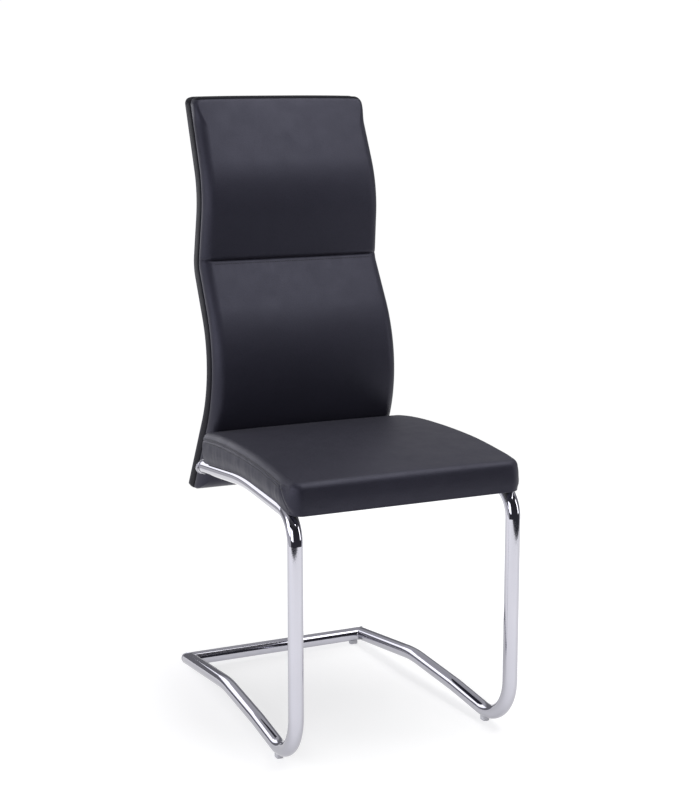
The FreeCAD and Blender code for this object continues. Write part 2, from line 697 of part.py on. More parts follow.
# cross tubes under the seat, coped to the rails, with two bolts each
bars = (("front", S("bar_front"), front_tilt, rail_pts[5]), ("rear", S("bar_rear"), rear_tilt, rail_pts[5]))
bolt_x = 120.0
seat_bolts, seat_nuts, seat_washers = [], [], []
board_tools, dust_tools, foam_tools = [], [], []
for word, y, tl, ref in bars:
    n = seat_normal(tl)
    t = V(0, math.cos(tl), math.sin(tl))
    rot = frame_rot(V(1, 0, 0), t, n)
    base = rail_point(y, tl, ref)
    top = base + n * h0
    mid = top - n * (S("bar_hgt") / 2.0)
    half = half_at(y) - 8.0
    ob = box("bar_out_" + word, 2 * half, SH + ".bar_wid", SH + ".bar_hgt", Placement(mid, rot))
    ib = box("bar_in_" + word, 2 * half + 20.0, "%s.bar_wid - 2 * %s.bar_wall" % (SH, SH),
             "%s.bar_hgt - 2 * %s.bar_wall" % (SH, SH), Placement(mid, rot))
    tools = [ib, envelope[-1], envelope[1]]
    for side in (-1, 1):
        p = top + V(side * bolt_x, 0, 0)
        dn = Placement(p - n * (S("bar_hgt") + 2.0), rot)
        tools.append(cyl("bar_hole_%s%d" % (word, side), "%s.bolt_dia / 2 + 0.3" % SH, "%s.bar_hgt + 4" % SH, dn))
        # bolt: button head below the cross tube, shank up into the nut
        wl = cyl("washer_%s%d" % (word, side), "7 mm", "1.2 mm", Placement(p - n * (S("bar_hgt") + 1.2), rot))
        wh = cyl("washer_h_%s%d" % (word, side), "%s.bolt_dia / 2 + 0.3" % SH, "3 mm", Placement(p - n * (S("bar_hgt") + 2.0), rot))
        seat_washers.append(cut("seat_washer_%s%d" % (word, side), wl, [wh]))
        hd = cyl("bolt_head_%s%d" % (word, side), "5.25 mm", "3.5 mm", Placement(p - n * (S("bar_hgt") + 4.7), rot))
        skt = doc.addObject("Part::Prism", "bolt_socket_%s%d" % (word, side))
        skt.Polygon = 6
        skt.Circumradius = 2.3
        skt.Height = 2.2
        skt.Placement = Placement(p - n * (S("bar_hgt") + 4.9), rot)
        shank = cyl("bolt_shank_%s%d" % (word, side), "%s.bolt_dia / 2" % SH, "30 mm", Placement(p - n * (S("bar_hgt") + 1.3), rot))
        seat_bolts.append(cut("seat_bolt_%s%d" % (word, side), fuse("seat_bolt_f_%s%d" % (word, side), [hd, shank]), [skt]))
        # nut with flange on top of the board
        topb = p + n * (h2 - h0)
        fl = cyl("nut_flange_%s%d" % (word, side), "9.5 mm", "1.4 mm", Placement(topb, rot))
        brl = cyl("nut_barrel_%s%d" % (word, side), "4 mm", "9 mm", Placement(topb - n * 9.0, rot))
        nh = cyl("nut_hole_%s%d" % (word, side), "%s.bolt_dia / 2 + 0.05" % SH, "14 mm", Placement(topb - n * 11.0, rot))
        seat_nuts.append(cut("seat_nut_%s%d" % (word, side), fuse("seat_nut_f_%s%d" % (word, side), [fl, brl]), [nh]))
        board_tools.append(cyl("board_hole_%s%d" % (word, side), "4.1 mm", "20 mm", Placement(p - n * 3.0, rot)))
        dust_tools.append(cyl("dust_hole_%s%d" % (word, side), "4.1 mm", "6 mm", Placement(p - n * 3.0, rot)))
        foam_tools.append(cyl("foam_pocket_%s%d" % (word, side), "10 mm", "6 mm", Placement(topb - n * 0.001, rot)))
    node(cut("seat_cross_tube_" + word, ob, tools), "seat_cross_tube_" + word)

node(cut("under_seat_cover", dust, dust_tools), "under_seat_cover")
node(cut("seat_board", sboard, board_tools), "seat_board")
# the foam fills the space between board, side band and top cover
board_copy = seat_slab("seat_board_space", h1 - 1.0, h2, tk + 3.0, tk + 3.0)
node(cut("seat_foam", sfoam_low, [board_copy] + foam_tools), "seat_foam")
node(stop, "seat_cover_top")
node(sbox, "seat_side_band")


def group(name, parts):
    c = doc.addObject("Part::Compound", name)
    c.Links = parts
    return c


node(group("seat_bolts", seat_bolts), "seat_bolts")
node(group("seat_washers", seat_washers), "seat_washers")
node(group("seat_insert_nuts", seat_nuts), "seat_insert_nuts")

# --- backrest ---
ZL, ZH = S("back_low"), S("back_high")
tb = S("cover_thk")


def back_half(z, inset):
    return S("back_half") - S("back_taper") * (z - S("back_ref")) - inset


def back_outline(inset, inset_z, zl=None, zh=None):
    zl = (ZL + inset_z) if zl is None else zl
    zh = (ZH - inset_z) if zh is None else zh
    return rounded_trapezoid(zl, zh, back_half(zl, inset), back_half(zh, inset), S("back_corner") - inset)


def back_slab(name, d0, d1, inset, inset_z, part=None):
    lo, up = back_curve(d0, ZL - 4.0, ZH + 4.0), back_curve(d1, ZL - 4.0, ZH + 4.0)
    if part == "lower":
        lo, up = split_arc(lo, 3)[0], split_arc(up, 3)[0]
    elif part == "upper":
        lo, up = split_arc(lo, 3)[1], split_arc(up, 3)[1]
    s = slab(name, closed(lo, up), "2 * %s.back_half + 60" % SH)
    return keep_inside(s, name + "_front", "XZ_Plane", back_outline(inset, inset_z), 1200.0)


d1 = tb
d2 = d1 + S("pad_thk")
d3 = d2 + S("back_board")
d5 = S("back_thk")
d4 = d5 - tb

rear_cover = back_slab("back_cover_rear", 0.0, d1, 0.0, tb)
rear_pad = back_slab("back_rear_padding", d1, d2, tb, tb)
bboard = back_slab("back_board", d2, d3, tb + 2.0, tb + 2.0)
band = back_slab("back_side_band", d1, d4, 0.0, 0.0)
band = drop_inside(band, "back_side_band_in", "XZ_Plane", back_outline(tb, tb, zl=ZL - 40.0))
low_strip_src = back_slab("back_bottom_strip", d1, d4, tb, 0.0)
foam_lo = back_slab("back_foam_lower", d2, d4, tb, tb, "lower")
foam_up = back_slab("back_foam_upper", d2, d4, tb, tb, "upper")
cov_lo = back_slab("back_cover_lower", d4, d5, 0.0, tb, "lower")
cov_up = back_slab("back_cover_upper", d4, d5, 0.0, 0.0, "upper")

# bottom strip: only the lowest layer between the side bands
strip_keep = box("strip_space", 500.0, 500.0, 800.0, Placement(V(0, 200.0, ZL + tb + 400.0), Rotation()))
strip = cut("back_bottom_strip", low_strip_src, [strip_keep])

# bolts, washers and flange nuts of the two brackets
back_bolts, back_nuts, back_washers = [], [], []
bb_tools, pad_tools, foam_b_tools, cover_b_tools = [], [], [], []
rotb = frame_rot(V(1, 0, 0), out_dir.cross(V(1, 0, 0)), out_dir)
for side, word in SIDES:
    wc, plc, xp, pc, reach, xw = web_cut[side]
    for j, u in enumerate(bolt_u):
        face = V(xp, pc.y, pc.z) - out_dir * reach + up_dir * u       # front of the plate
        rearb = face - out_dir * (S("plate_thk") + S("back_board"))   # rear of the board
        tag = "%s%d" % (word, j)
        wl = cyl("bwasher_" + tag, "6.2 mm", "1.2 mm", Placement(face, rotb))
        wh = cyl("bwasher_h_" + tag, "%s.bolt_dia / 2 + 0.3" % SH, "3 mm", Placement(face - out_dir, rotb))
        back_washers.append(cut("back_washer_" + tag, wl, [wh]))
        hd = cyl("bbolt_head_" + tag, "5.25 mm", "3.5 mm", Placement(face + out_dir * 1.2, rotb))
        shank = cyl("bbolt_shank_" + tag, "%s.bolt_dia / 2" % SH, "16.5 mm", Placement(face - out_dir * 15.2, rotb))
        skt = doc.addObject("Part::Prism", "bbolt_socket_" + tag)
        skt.Polygon = 6
        skt.Circumradius = 2.3
        skt.Height = 2.4
        skt.Placement = Placement(face + out_dir * 2.5, rotb)
        back_bolts.append(cut("back_bolt_" + tag, fuse("back_bolt_f_" + tag, [hd, shank]), [skt]))
        fl = cyl("bnut_flange_" + tag, "9.5 mm", "1.4 mm", Placement(rearb - out_dir * 1.4, rotb))
        brl = cyl("bnut_barrel_" + tag, "4 mm", "8.5 mm", Placement(rearb - out_dir * 0.5, rotb))
        nh = cyl("bnut_hole_" + tag, "%s.bolt_dia / 2 + 0.05" % SH, "14 mm", Placement(rearb - out_dir * 3.0, rotb))
        back_nuts.append(cut("back_nut_" + tag, fuse("back_nut_f_" + tag, [fl, brl]), [nh]))
        bb_tools.append(cyl("bboard_hole_" + tag, "4.1 mm", "14 mm", Placement(rearb - out_dir * 2.0, rotb)))
        pad_tools.append(cyl("bpad_pocket_" + tag, "10 mm", "2.6 mm", Placement(rearb - out_dir * 2.6, rotb)))
        foam_b_tools.append(cyl("bfoam_pocket_" + tag, "7 mm", "6 mm", Placement(face - out_dir * 0.5, rotb)))
    foam_b_tools.append(box("bfoam_web_" + word, S("web_thk") + 0.6, S("web_hgt") + 0.6, reach + 4.0,
                            Placement(V(xw, pc.y, pc.z) - out_dir * ((reach - 2.0) / 2.0), rotb)))
    foam_b_tools.append(box("bfoam_plate_" + word, S("plate_wid") + 0.6, plate_u[1] - plate_u[0] + 0.6, S("plate_thk") + 0.3,
                            Placement(plc + out_dir * 0.15, rotb)))
    cover_b_tools.append(box("bcover_web_" + word, S("web_thk") + 0.6, S("web_hgt") + 0.6, 20.0,
                             Placement(V(xw, pc.y, pc.z), rotb)))

bspace = back_slab("back_board_space", d2 - 1.0, d3, tb + 2.0, tb + 2.0)
node(cut("back_board", bboard, bb_tools), "back_board")
node(cut("back_foam_lower", foam_lo, [bspace] + foam_b_tools), "back_foam_lower")
node(cut("back_foam_upper", foam_up, [bspace]), "back_foam_upper")
node(cut("back_cover_lower", cov_lo, cover_b_tools), "back_cover_lower")
node(cov_up, "back_cover_upper")
node(band, "back_side_band")
node(rear_cover, "back_cover_rear")
node(cut("back_rear_padding", rear_pad, pad_tools), "back_rear_padding")
node(strip, "back_bottom_strip")
node(group("back_bolts", back_bolts), "back_bolts")
node(group("back_washers", back_washers), "back_washers")
node(group("back_insert_nuts", back_nuts), "back_insert_nuts")

doc.recompute()

# ----------------------------------------------------------------------------
# checks, then one file for each piece
# ----------------------------------------------------------------------------
bad = []
for o in doc.Objects:
    if "Invalid" in o.State or "Error" in o.State:
        bad.append("%s %s" % (o.Name, o.State))
for o, name in nodes:
    s = o.Shape
    if s.isNull() or not s.isValid() or not s.Solids:
        bad.append("%s has no valid solid" % name)
if bad:
    raise SystemExit("not written: " + "; ".join(bad))

run = sum(math.hypot(s[2][0] - s[1][0], s[2][1] - s[1][1]) if s[0] == "line" else
          s[4] * abs((math.atan2(s[2][1] - s[3][1], s[2][0] - s[3][0]) -
                      math.atan2(s[1][1] - s[3][1], s[1][0] - s[3][0]) + math.pi) % (2 * math.pi) - math.pi)
          for s in path_segs)
print("tube path %.1f mm, envelope volume / section %.1f mm" %
      (run, envelope[1].Shape.Volume / (math.pi * tube_r ** 2)))

os.makedirs("parts", exist_ok=True)
for o, name in nodes:
    s = o.Shape
    s.exportStep(os.path.join("parts", name + ".step"))
    bb = s.BoundBox
    print("%-26s solids %2d  volume %10.1f  x %7.1f %7.1f  y %7.1f %7.1f  z %7.1f %7.1f" %
          (name, len(s.Solids), s.Volume, bb.XMin, bb.XMax, bb.YMin, bb.YMax, bb.ZMin, bb.ZMax))
print(len(nodes), "nodes")
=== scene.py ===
import json
import math

import bpy
import bmesh
import numpy as np
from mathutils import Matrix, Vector


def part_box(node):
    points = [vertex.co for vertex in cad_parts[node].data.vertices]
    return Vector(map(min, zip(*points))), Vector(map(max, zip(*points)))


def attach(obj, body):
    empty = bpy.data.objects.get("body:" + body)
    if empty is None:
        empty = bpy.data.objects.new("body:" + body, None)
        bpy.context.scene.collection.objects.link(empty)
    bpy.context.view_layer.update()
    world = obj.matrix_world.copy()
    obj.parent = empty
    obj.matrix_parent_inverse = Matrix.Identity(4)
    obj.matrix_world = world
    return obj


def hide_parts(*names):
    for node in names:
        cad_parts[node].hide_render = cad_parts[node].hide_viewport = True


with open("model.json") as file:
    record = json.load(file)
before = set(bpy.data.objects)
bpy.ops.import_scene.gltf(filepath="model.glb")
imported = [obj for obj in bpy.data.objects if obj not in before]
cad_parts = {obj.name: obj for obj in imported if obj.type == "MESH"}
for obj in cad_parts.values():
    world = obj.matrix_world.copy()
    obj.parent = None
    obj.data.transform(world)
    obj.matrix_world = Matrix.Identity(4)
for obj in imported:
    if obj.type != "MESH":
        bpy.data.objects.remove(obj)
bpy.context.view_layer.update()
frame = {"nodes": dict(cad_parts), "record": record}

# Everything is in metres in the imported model's frame: +Z up, front towards -Y.
YS = 0.0139
scene = bpy.context.scene

# ---------------------------------------------------------------------------
# the two side-view lines that seat and backrest follow (y, z)
# ---------------------------------------------------------------------------


def chain(pts, rad):
    segs, prev = [], pts[0]
    for i in range(1, len(pts) - 1):
        a, b, c = (np.array(p, float) for p in pts[i - 1:i + 2])
        u, v = (a - b) / np.linalg.norm(a - b), (c - b) / np.linalg.norm(c - b)
        ang = math.acos(max(-1, min(1, float(u @ v))))
        r = rad[i - 1]
        t = r / math.tan(ang / 2)
        p1, p2 = b + u * t, b + v * t
        m = (u + v) / np.linalg.norm(u + v)
        cc = b + m * r / math.sin(ang / 2)
        turn = 1.0 if (-u[0]) * v[1] - (-u[1]) * v[0] > 0 else -1.0
        segs.append(("line", np.array(prev, float), p1))
        segs.append(("arc", p1, p2, cc, r, turn))
        prev = p2
    segs.append(("line", np.array(prev, float), np.array(pts[-1], float)))
    return segs


def sample(segs, step=0.002):
    """Points and left normals along a chain."""
    P, N = [], []
    for s in segs:
        if s[0] == "line":
            a, b = s[1], s[2]
            n = max(2, int(np.linalg.norm(b - a) / step))
            d = (b - a) / np.linalg.norm(b - a)
            for k in range(n):
                P.append(a + (b - a) * k / n)
                N.append((-d[1], d[0]))
        else:
            _, a, b, c, r, turn = s
            a0 = math.atan2(a[1] - c[1], a[0] - c[0])
            a1 = math.atan2(b[1] - c[1], b[0] - c[0])
            dd = (a1 - a0 + math.pi) % (2 * math.pi) - math.pi
            n = max(3, int(abs(dd) * r / step))
            for k in range(n):
                w = a0 + dd * k / n
                P.append(c + r * np.array([math.cos(w), math.sin(w)]))
                rad = np.array([math.cos(w), math.sin(w)])
                N.append(tuple(-rad * turn))
    P.append(segs[-1][2])
    N.append(N[-1])
    return np.array(P), np.array(N)


RAIL = chain([(-.2741, .4241), (-.0513, .4354), (.1689, .4120)], [.600])
BACK = chain([(.2481, .3620), (.1345, .5843), (.2324, .7623), (.2150, .8929), (.2890, 1.0620)],
             [.192, .066, .146])
BP, BN = sample(BACK, .0015)
# run the two ends on a little
BP = np.vstack([BP[0] + (BP[0] - BP[1]) / np.linalg.norm(BP[0] - BP[1]) * .08, BP,
                BP[-1] + (BP[-1] - BP[-2]) / np.linalg.norm(BP[-1] - BP[-2]) * .08])
BN = np.vstack([BN[0], BN, BN[-1]])


BD = np.linspace(-.010, .060, 71)
BZ = np.linspace(.30, 1.12, 1641)
BY = np.array([np.interp(BZ, (BP + BN * dv)[:, 1], (BP + BN * dv)[:, 0]) for dv in BD])


def back_y(z, d):
    """Depth of the layer d in front of the backrest's rear surface at height z."""
    z, d = np.broadcast_arrays(np.asarray(z, float), np.asarray(d, float))
    i = np.clip((d - BD[0]) / (BD[1] - BD[0]), 0, len(BD) - 1.001)
    j = np.clip((z - BZ[0]) / (BZ[1] - BZ[0]), 0, len(BZ) - 1.001)
    i0, j0 = i.astype(int), j.astype(int)
    a, b = i - i0, j - j0
    return ((1 - a) * (1 - b) * BY[i0, j0] + a * (1 - b) * BY[i0 + 1, j0]
            + (1 - a) * b * BY[i0, j0 + 1] + a * b * BY[i0 + 1, j0 + 1])


RP, RN = sample(RAIL, .002)
RX = np.concatenate([[-.40], RP[:, 0], [.30]])
RZ = np.concatenate([[RP[0, 1] + (-.40 - RP[0, 0]) * .0507], RP[:, 1], [RP[-1, 1] + (.30 - RP[-1, 0]) * -.1062]])


def rail_z(y):
    return np.interp(y, RX, RZ)


def smooth(e0, e1, x):
    t = np.clip((x - e0) / (e1 - e0), 0, 1)
    return t * t * (3 - 2 * t)


def spline(xs, ys, x):
    """Monotone-ish cubic through a few points (Catmull-Rom), for soft profiles."""
    xs, ys = np.array(xs, float), np.array(ys, float)
    m = np.gradient(ys, xs)
    i = np.clip(np.searchsorted(xs, x) - 1, 0, len(xs) - 2)
    h = xs[i + 1] - xs[i]
    t = (x - xs[i]) / h
    t = np.clip(t, -.5, 1.5)
    return ((2 * t ** 3 - 3 * t ** 2 + 1) * ys[i] + (t ** 3 - 2 * t ** 2 + t) * h * m[i] +
            (-2 * t ** 3 + 3 * t ** 2) * ys[i + 1] + (t ** 3 - t ** 2) * h * m[i + 1])


def ripple(p, scale, seed, octaves=3):
    """Smooth repeatable noise from a few crossed waves, about -1 to 1."""
    rng = np.random.default_rng(seed)
    out, amp, tot = np.zeros(len(p)), 1.0, 0.0
    for o in range(octaves):
        for _ in range(5):
            k = rng.normal(size=3)
            k /= np.linalg.norm(k)
            ph = rng.uniform(0, 6.283)
            out += amp * np.sin((p @ k) * 6.283 / scale * 2 ** o * rng.uniform(.7, 1.3) + ph)
            tot += amp * .7
        amp *= .5
    return out / tot


# ---------------------------------------------------------------------------
# mesh helpers
# ---------------------------------------------------------------------------


def add_mesh(name, verts, faces, smooth_shade=True):
    me = bpy.data.meshes.new(name)
    me.from_pydata([tuple(map(float, v)) for v in verts], [], [tuple(int(i) for i in f) for f in faces])
    me.validate()
    me.update()
    if smooth_shade:
        me.polygons.foreach_set("use_smooth", [True] * len(me.polygons))
    o = bpy.data.objects.new(name, me)
    scene.collection.objects.link(o)
    return o


def outward(o):
    bm = bmesh.new()
    bm.from_mesh(o.data)
    bmesh.ops.recalc_face_normals(bm, faces=bm.faces)
    bm.to_mesh(o.data)
    bm.free()


class Skin:
    """A padded slab as one closed grid: an outline (trapezoid with rounded
    corners) that is drawn in by e at level t, ring by ring, with a smooth
    grid across both large faces."""

    def __init__(self, corners, radii, rows_u, rows_v, arc=7):
        self.c = np.array(corners, float)         # lower left, lower right, upper right, upper left
        self.r = radii
        self.u, self.v, self.arc = rows_u, rows_v, arc

    def outline(self, e):
        """Points round the outline drawn in by e: four edges, each from corner
        middle to corner middle, the same count on opposite edges."""
        c = self.c
        edges = []
        for i in range(4):
            a, b = c[i], c[(i + 1) % 4]
            d = (b - a) / np.linalg.norm(b - a)
            n = np.array([-d[1], d[0]])            # inward for counter-clockwise corners
            edges.append((a + n * e, d))
        cor = []
        for i in range(4):
            (p, d), (q, f) = edges[i - 1], edges[i]
            t = np.linalg.solve(np.array([d, -f]).T, q - p)
            cor.append(p + d * t[0])
        arcs = []
        for i in range(4):
            r = max(self.r[i] - e, .0012)
            d0, d1 = edges[i - 1][1], edges[i][1]
            turn = math.acos(float(np.clip(d0 @ d1, -1, 1)))
            tl = r * math.tan(turn / 2)
            a, b = cor[i] - d0 * tl, cor[i] + d1 * tl
            n0 = np.array([-d0[1], d0[0]])
            ctr = a + n0 * r
            w0 = math.atan2(*(a - ctr)[::-1])
            pts = [ctr + r * np.array([math.cos(w0 + turn * k / (2 * self.arc)),
                                       math.sin(w0 + turn * k / (2 * self.arc))]) for k in range(2 * self.arc + 1)]
            arcs.append(np.array(pts))
        out = []
        for i in range(4):
            rows = self.u if i in (0, 2) else self.v
            if i in (2, 3):
                rows = 1 - rows[::-1]
            a, b = arcs[i][-1], arcs[(i + 1) % 4][0]
            straight = a + (b - a) * rows[:, None]
            e_pts = np.vstack([arcs[i][self.arc:-1], straight, arcs[(i + 1) % 4][1:self.arc + 1]])
            out.append(e_pts)
        return out                                   # each edge's points, ends shared

    def ring(self, e):
        o = self.outline(e)
        return np.vstack([x[:-1] for x in o])

    def grid(self, e):
        """Coons patch inside the outline drawn in by e: array (nv, nu, 2)."""
        B, R, T, L = self.outline(e)
        T, L = T[::-1], L[::-1]
        nu, nv = len(B), len(R)
        u = np.linalg.norm(np.diff(B, axis=0), axis=1).cumsum() / np.linalg.norm(np.diff(B, axis=0), axis=1).sum()
        u = np.concatenate([[0], u])
        v = np.linalg.norm(np.diff(R, axis=0), axis=1).cumsum() / np.linalg.norm(np.diff(R, axis=0), axis=1).sum()
        v = np.concatenate([[0], v])
        U, V = u[None, :, None], v[:, None, None]
        return ((1 - V) * B[None] + V * T[None] + (1 - U) * L[:, None] + U * R[:, None]
                - (1 - U) * (1 - V) * B[0] - U * (1 - V) * B[-1] - (1 - U) * V * T[0] - U * V * T[-1])

    def build(self, levels):
        """levels: list of (e, t, tag) rings from the front grid's rim to the
        rear grid's rim.  Returns plan points (n, 2), level t, inset e, tags
        and faces with the index of the ring strip (-1 front grid, -2 rear)."""
        rings = [self.ring(e) for e, t in levels]
        n = len(rings[0])
        g0, g1 = self.grid(levels[0][0]), self.grid(levels[-1][0])
        nv, nu = g0.shape[:2]
        pts, ts, es = [], [], []
        for (e, t), r in zip(levels, rings):
            pts.append(r)
            ts.append(np.full(n, t))
            es.append(np.full(n, e))
        faces, strip = [], []
        for k in range(len(levels) - 1):
            a, b = k * n, (k + 1) * n
            for i in range(n):
                j = (i + 1) % n
                faces.append((a + i, b + i, b + j, a + j))
                strip.append(k)
        base = len(levels) * n

        def rim_index(i, j, off):
            # position on the ring of a grid border point (row i, column j)
            if i == 0:
                return off + j
            if j == nu - 1:
                return off + (nu - 1) + i
            if i == nv - 1:
                return off + (nu - 1) + (nv - 1) + (nu - 1 - j)
            return off + (2 * (nu - 1) + (nv - 1) + (nv - 1 - i))

        for g, off, t, e, tag in ((g0, 0, levels[0][1], levels[0][0], -1),
                                  (g1, (len(levels) - 1) * n, levels[-1][1], levels[-1][0], -2)):
            idx = np.zeros((nv, nu), int)
            inner = []
            for i in range(nv):
                for j in range(nu):
                    if i in (0, nv - 1) or j in (0, nu - 1):
                        idx[i, j] = rim_index(i, j, off) if not (i, j) == (0, 0) else off
                    else:
                        idx[i, j] = base + len(inner)
                        inner.append(g[i, j])
            base += len(inner)
            pts.append(np.array(inner))
            ts.append(np.full(len(inner), t))
            es.append(np.full(len(inner), e))
            for i in range(nv - 1):
                for j in range(nu - 1):
                    q = (idx[i, j], idx[i, j + 1], idx[i + 1, j + 1], idx[i + 1, j])
                    faces.append(q if tag == -1 else q[::-1])
                    strip.append(tag)
        return np.vstack(pts), np.concatenate(ts), np.concatenate(es), faces, np.array(strip)


def part_of(name, verts, faces, keep):
    """A piece made of the kept faces, with unused points dropped."""
    sel = [f for f, k in zip(faces, keep) if k]
    used = sorted({i for f in sel for i in f})
    new = {v: i for i, v in enumerate(used)}
    return add_mesh(name, verts[used], [[new[i] for i in f] for f in sel])


def quarter(r, n, start):
    """(inset, depth below the face) round a quarter edge of radius r."""
    a = np.linspace(0, math.pi / 2, n)
    return [(r - r * math.sin(w), r - r * math.cos(w)) for w in a] if start else \
           [(r - r * math.cos(w), r - r * math.sin(w)) for w in a]


def tube_along(name, pts, radius, sides=8, closed=False, cap=True):
    """Round thread or cord through the points."""
    pts = np.asarray(pts, float)
    n = len(pts)
    tang = np.roll(pts, -1, 0) - np.roll(pts, 1, 0)
    if not closed:
        tang[0], tang[-1] = pts[1] - pts[0], pts[-1] - pts[-2]
    tang /= np.linalg.norm(tang, axis=1)[:, None] + 1e-12
    ref = np.array([0, 0, 1.0]) if abs(tang[0, 2]) < .9 else np.array([1.0, 0, 0])
    verts, faces = [], []
    nrm = None
    for k in range(n):
        if nrm is None:
            nrm = np.cross(tang[k], ref)
        nrm = nrm - tang[k] * (nrm @ tang[k])
        nrm /= np.linalg.norm(nrm)
        bi = np.cross(tang[k], nrm)
        for s in range(sides):
            w = 2 * math.pi * s / sides
            verts.append(pts[k] + radius * (math.cos(w) * nrm + math.sin(w) * bi))
    last = n if closed else n - 1
    for k in range(last):
        a, b = k * sides, ((k + 1) % n) * sides
        for s in range(sides):
            t = (s + 1) % sides
            faces.append((a + s, a + t, b + t, b + s))
    if cap and not closed:
        faces.append(tuple(range(sides))[::-1])
        faces.append(tuple((n - 1) * sides + s for s in range(sides)))
    return verts, faces


def stitches(path, normals, length=.0030, gap=.0012, radius=.00042, lift=.0001):
    """Short threads laid along a path, each dipping into the cover at both ends."""
    path, normals = np.asarray(path, float), np.asarray(normals, float)
    seg = np.linalg.norm(np.diff(path, axis=0), axis=1)
    s = np.concatenate([[0], seg.cumsum()])
    V, F = [], []
    at = gap
    while at + length < s[-1]:
        q = np.linspace(at, at + length, 6)
        p = np.stack([np.interp(q, s, path[:, k]) for k in range(3)], 1)
        nn = np.stack([np.interp(q, s, normals[:, k]) for k in range(3)], 1)
        nn /= np.linalg.norm(nn, axis=1)[:, None] + 1e-12
        h = np.array([-.0007, .0000, .00025, .00025, .0000, -.0007]) + lift
        v, f = tube_along("", p + nn * h[:, None], radius, 6)
        off = len(V)
        V += [tuple(x) for x in v]
        F += [tuple(i + off for i in t) for t in f]
        at += length + gap
    return V, F


# ---------------------------------------------------------------------------
# materials
# ---------------------------------------------------------------------------


def material(name):
    m = bpy.data.materials.new(name)
    m.use_nodes = True
    nt = m.node_tree
    nt.nodes.clear()
    out = nt.nodes.new("ShaderNodeOutputMaterial")
    bsdf = nt.nodes.new("ShaderNodeBsdfPrincipled")
    nt.links.new(bsdf.outputs["BSDF"], out.inputs["Surface"])
    return m, nt, bsdf


def nd(nt, kind, **kw):
    n = nt.nodes.new(kind)
    for k, v in kw.items():
        if k in n.inputs:
            n.inputs[k].default_value = v
        else:
            setattr(n, k, v)
    return n


def ramp(nt, fac, stops):
    r = nt.nodes.new("ShaderNodeValToRGB")
    e = r.color_ramp.elements
    while len(e) < len(stops):
        e.new(.5)
    for el, (p, c) in zip(e, stops):
        el.position = p
        el.color = (c, c, c, 1) if isinstance(c, (int, float)) else tuple(c) + (1,)
    nt.links.new(fac, r.inputs["Fac"])
    return r.outputs["Color"]


def leather(name, dark=1.0, gloss=.42):
    """Black faux leather: fine pebble grain, soft creases, slight colour and gloss drift."""
    m, nt, b = material(name)
    tc = nd(nt, "ShaderNodeTexCoord")
    co = tc.outputs["Object"]
    cells = nd(nt, "ShaderNodeTexVoronoi", feature="SMOOTH_F1", Scale=620.0, Smoothness=.55)
    cells2 = nd(nt, "ShaderNodeTexVoronoi", feature="DISTANCE_TO_EDGE", Scale=390.0)
    pores = nd(nt, "ShaderNodeTexNoise", Scale=1500.0, Detail=3.0, Roughness=.6)
    broad = nd(nt, "ShaderNodeTexNoise", Scale=9.0, Detail=4.0, Roughness=.55)
    crease = nd(nt, "ShaderNodeTexNoise", Scale=34.0, Detail=5.0, Roughness=.6)
    for n in (cells, cells2, pores, broad, crease):
        nt.links.new(co, n.inputs["Vector"])
    col = ramp(nt, broad.outputs["Fac"], [(.30, (.0160 * dark, .0155 * dark, .0245 * dark)),
                                          (.70, (.0200 * dark, .0192 * dark, .0300 * dark))])
    edge = ramp(nt, cells2.outputs["Distance"], [(0, .72), (.16, 1.0)])
    mix = nd(nt, "ShaderNodeMix", data_type="RGBA", blend_type="MULTIPLY")
    mix.inputs["Factor"].default_value = 1.0
    nt.links.new(col, mix.inputs["A"])
    nt.links.new(edge, mix.inputs["B"])
    nt.links.new(mix.outputs["Result"], b.inputs["Base Color"])
    rough = ramp(nt, crease.outputs["Fac"], [(.25, .44), (.75, .54)])
    nt.links.new(rough, b.inputs["Roughness"])
    b.inputs["Specular IOR Level"].default_value = gloss
    b.inputs["Specular Tint"].default_value = (.78, .78, 1.0, 1)
    b.inputs["Sheen Weight"].default_value = .03
    b.inputs["Sheen Roughness"].default_value = .5
    b1 = nd(nt, "ShaderNodeBump", Strength=.22, Distance=.00030)
    b2 = nd(nt, "ShaderNodeBump", Strength=.16, Distance=.00025)
    b3 = nd(nt, "ShaderNodeBump", Strength=.10, Distance=.0012)
    nt.links.new(crease.outputs["Fac"], b3.inputs["Height"])
    nt.links.new(cells2.outputs["Distance"], b2.inputs["Height"])
    nt.links.new(b3.outputs["Normal"], b2.inputs["Normal"])
    nt.links.new(cells.outputs["Distance"], b1.inputs["Height"])
    nt.links.new(b2.outputs["Normal"], b1.inputs["Normal"])
    nt.links.new(b1.outputs["Normal"], b.inputs["Normal"])
    return m


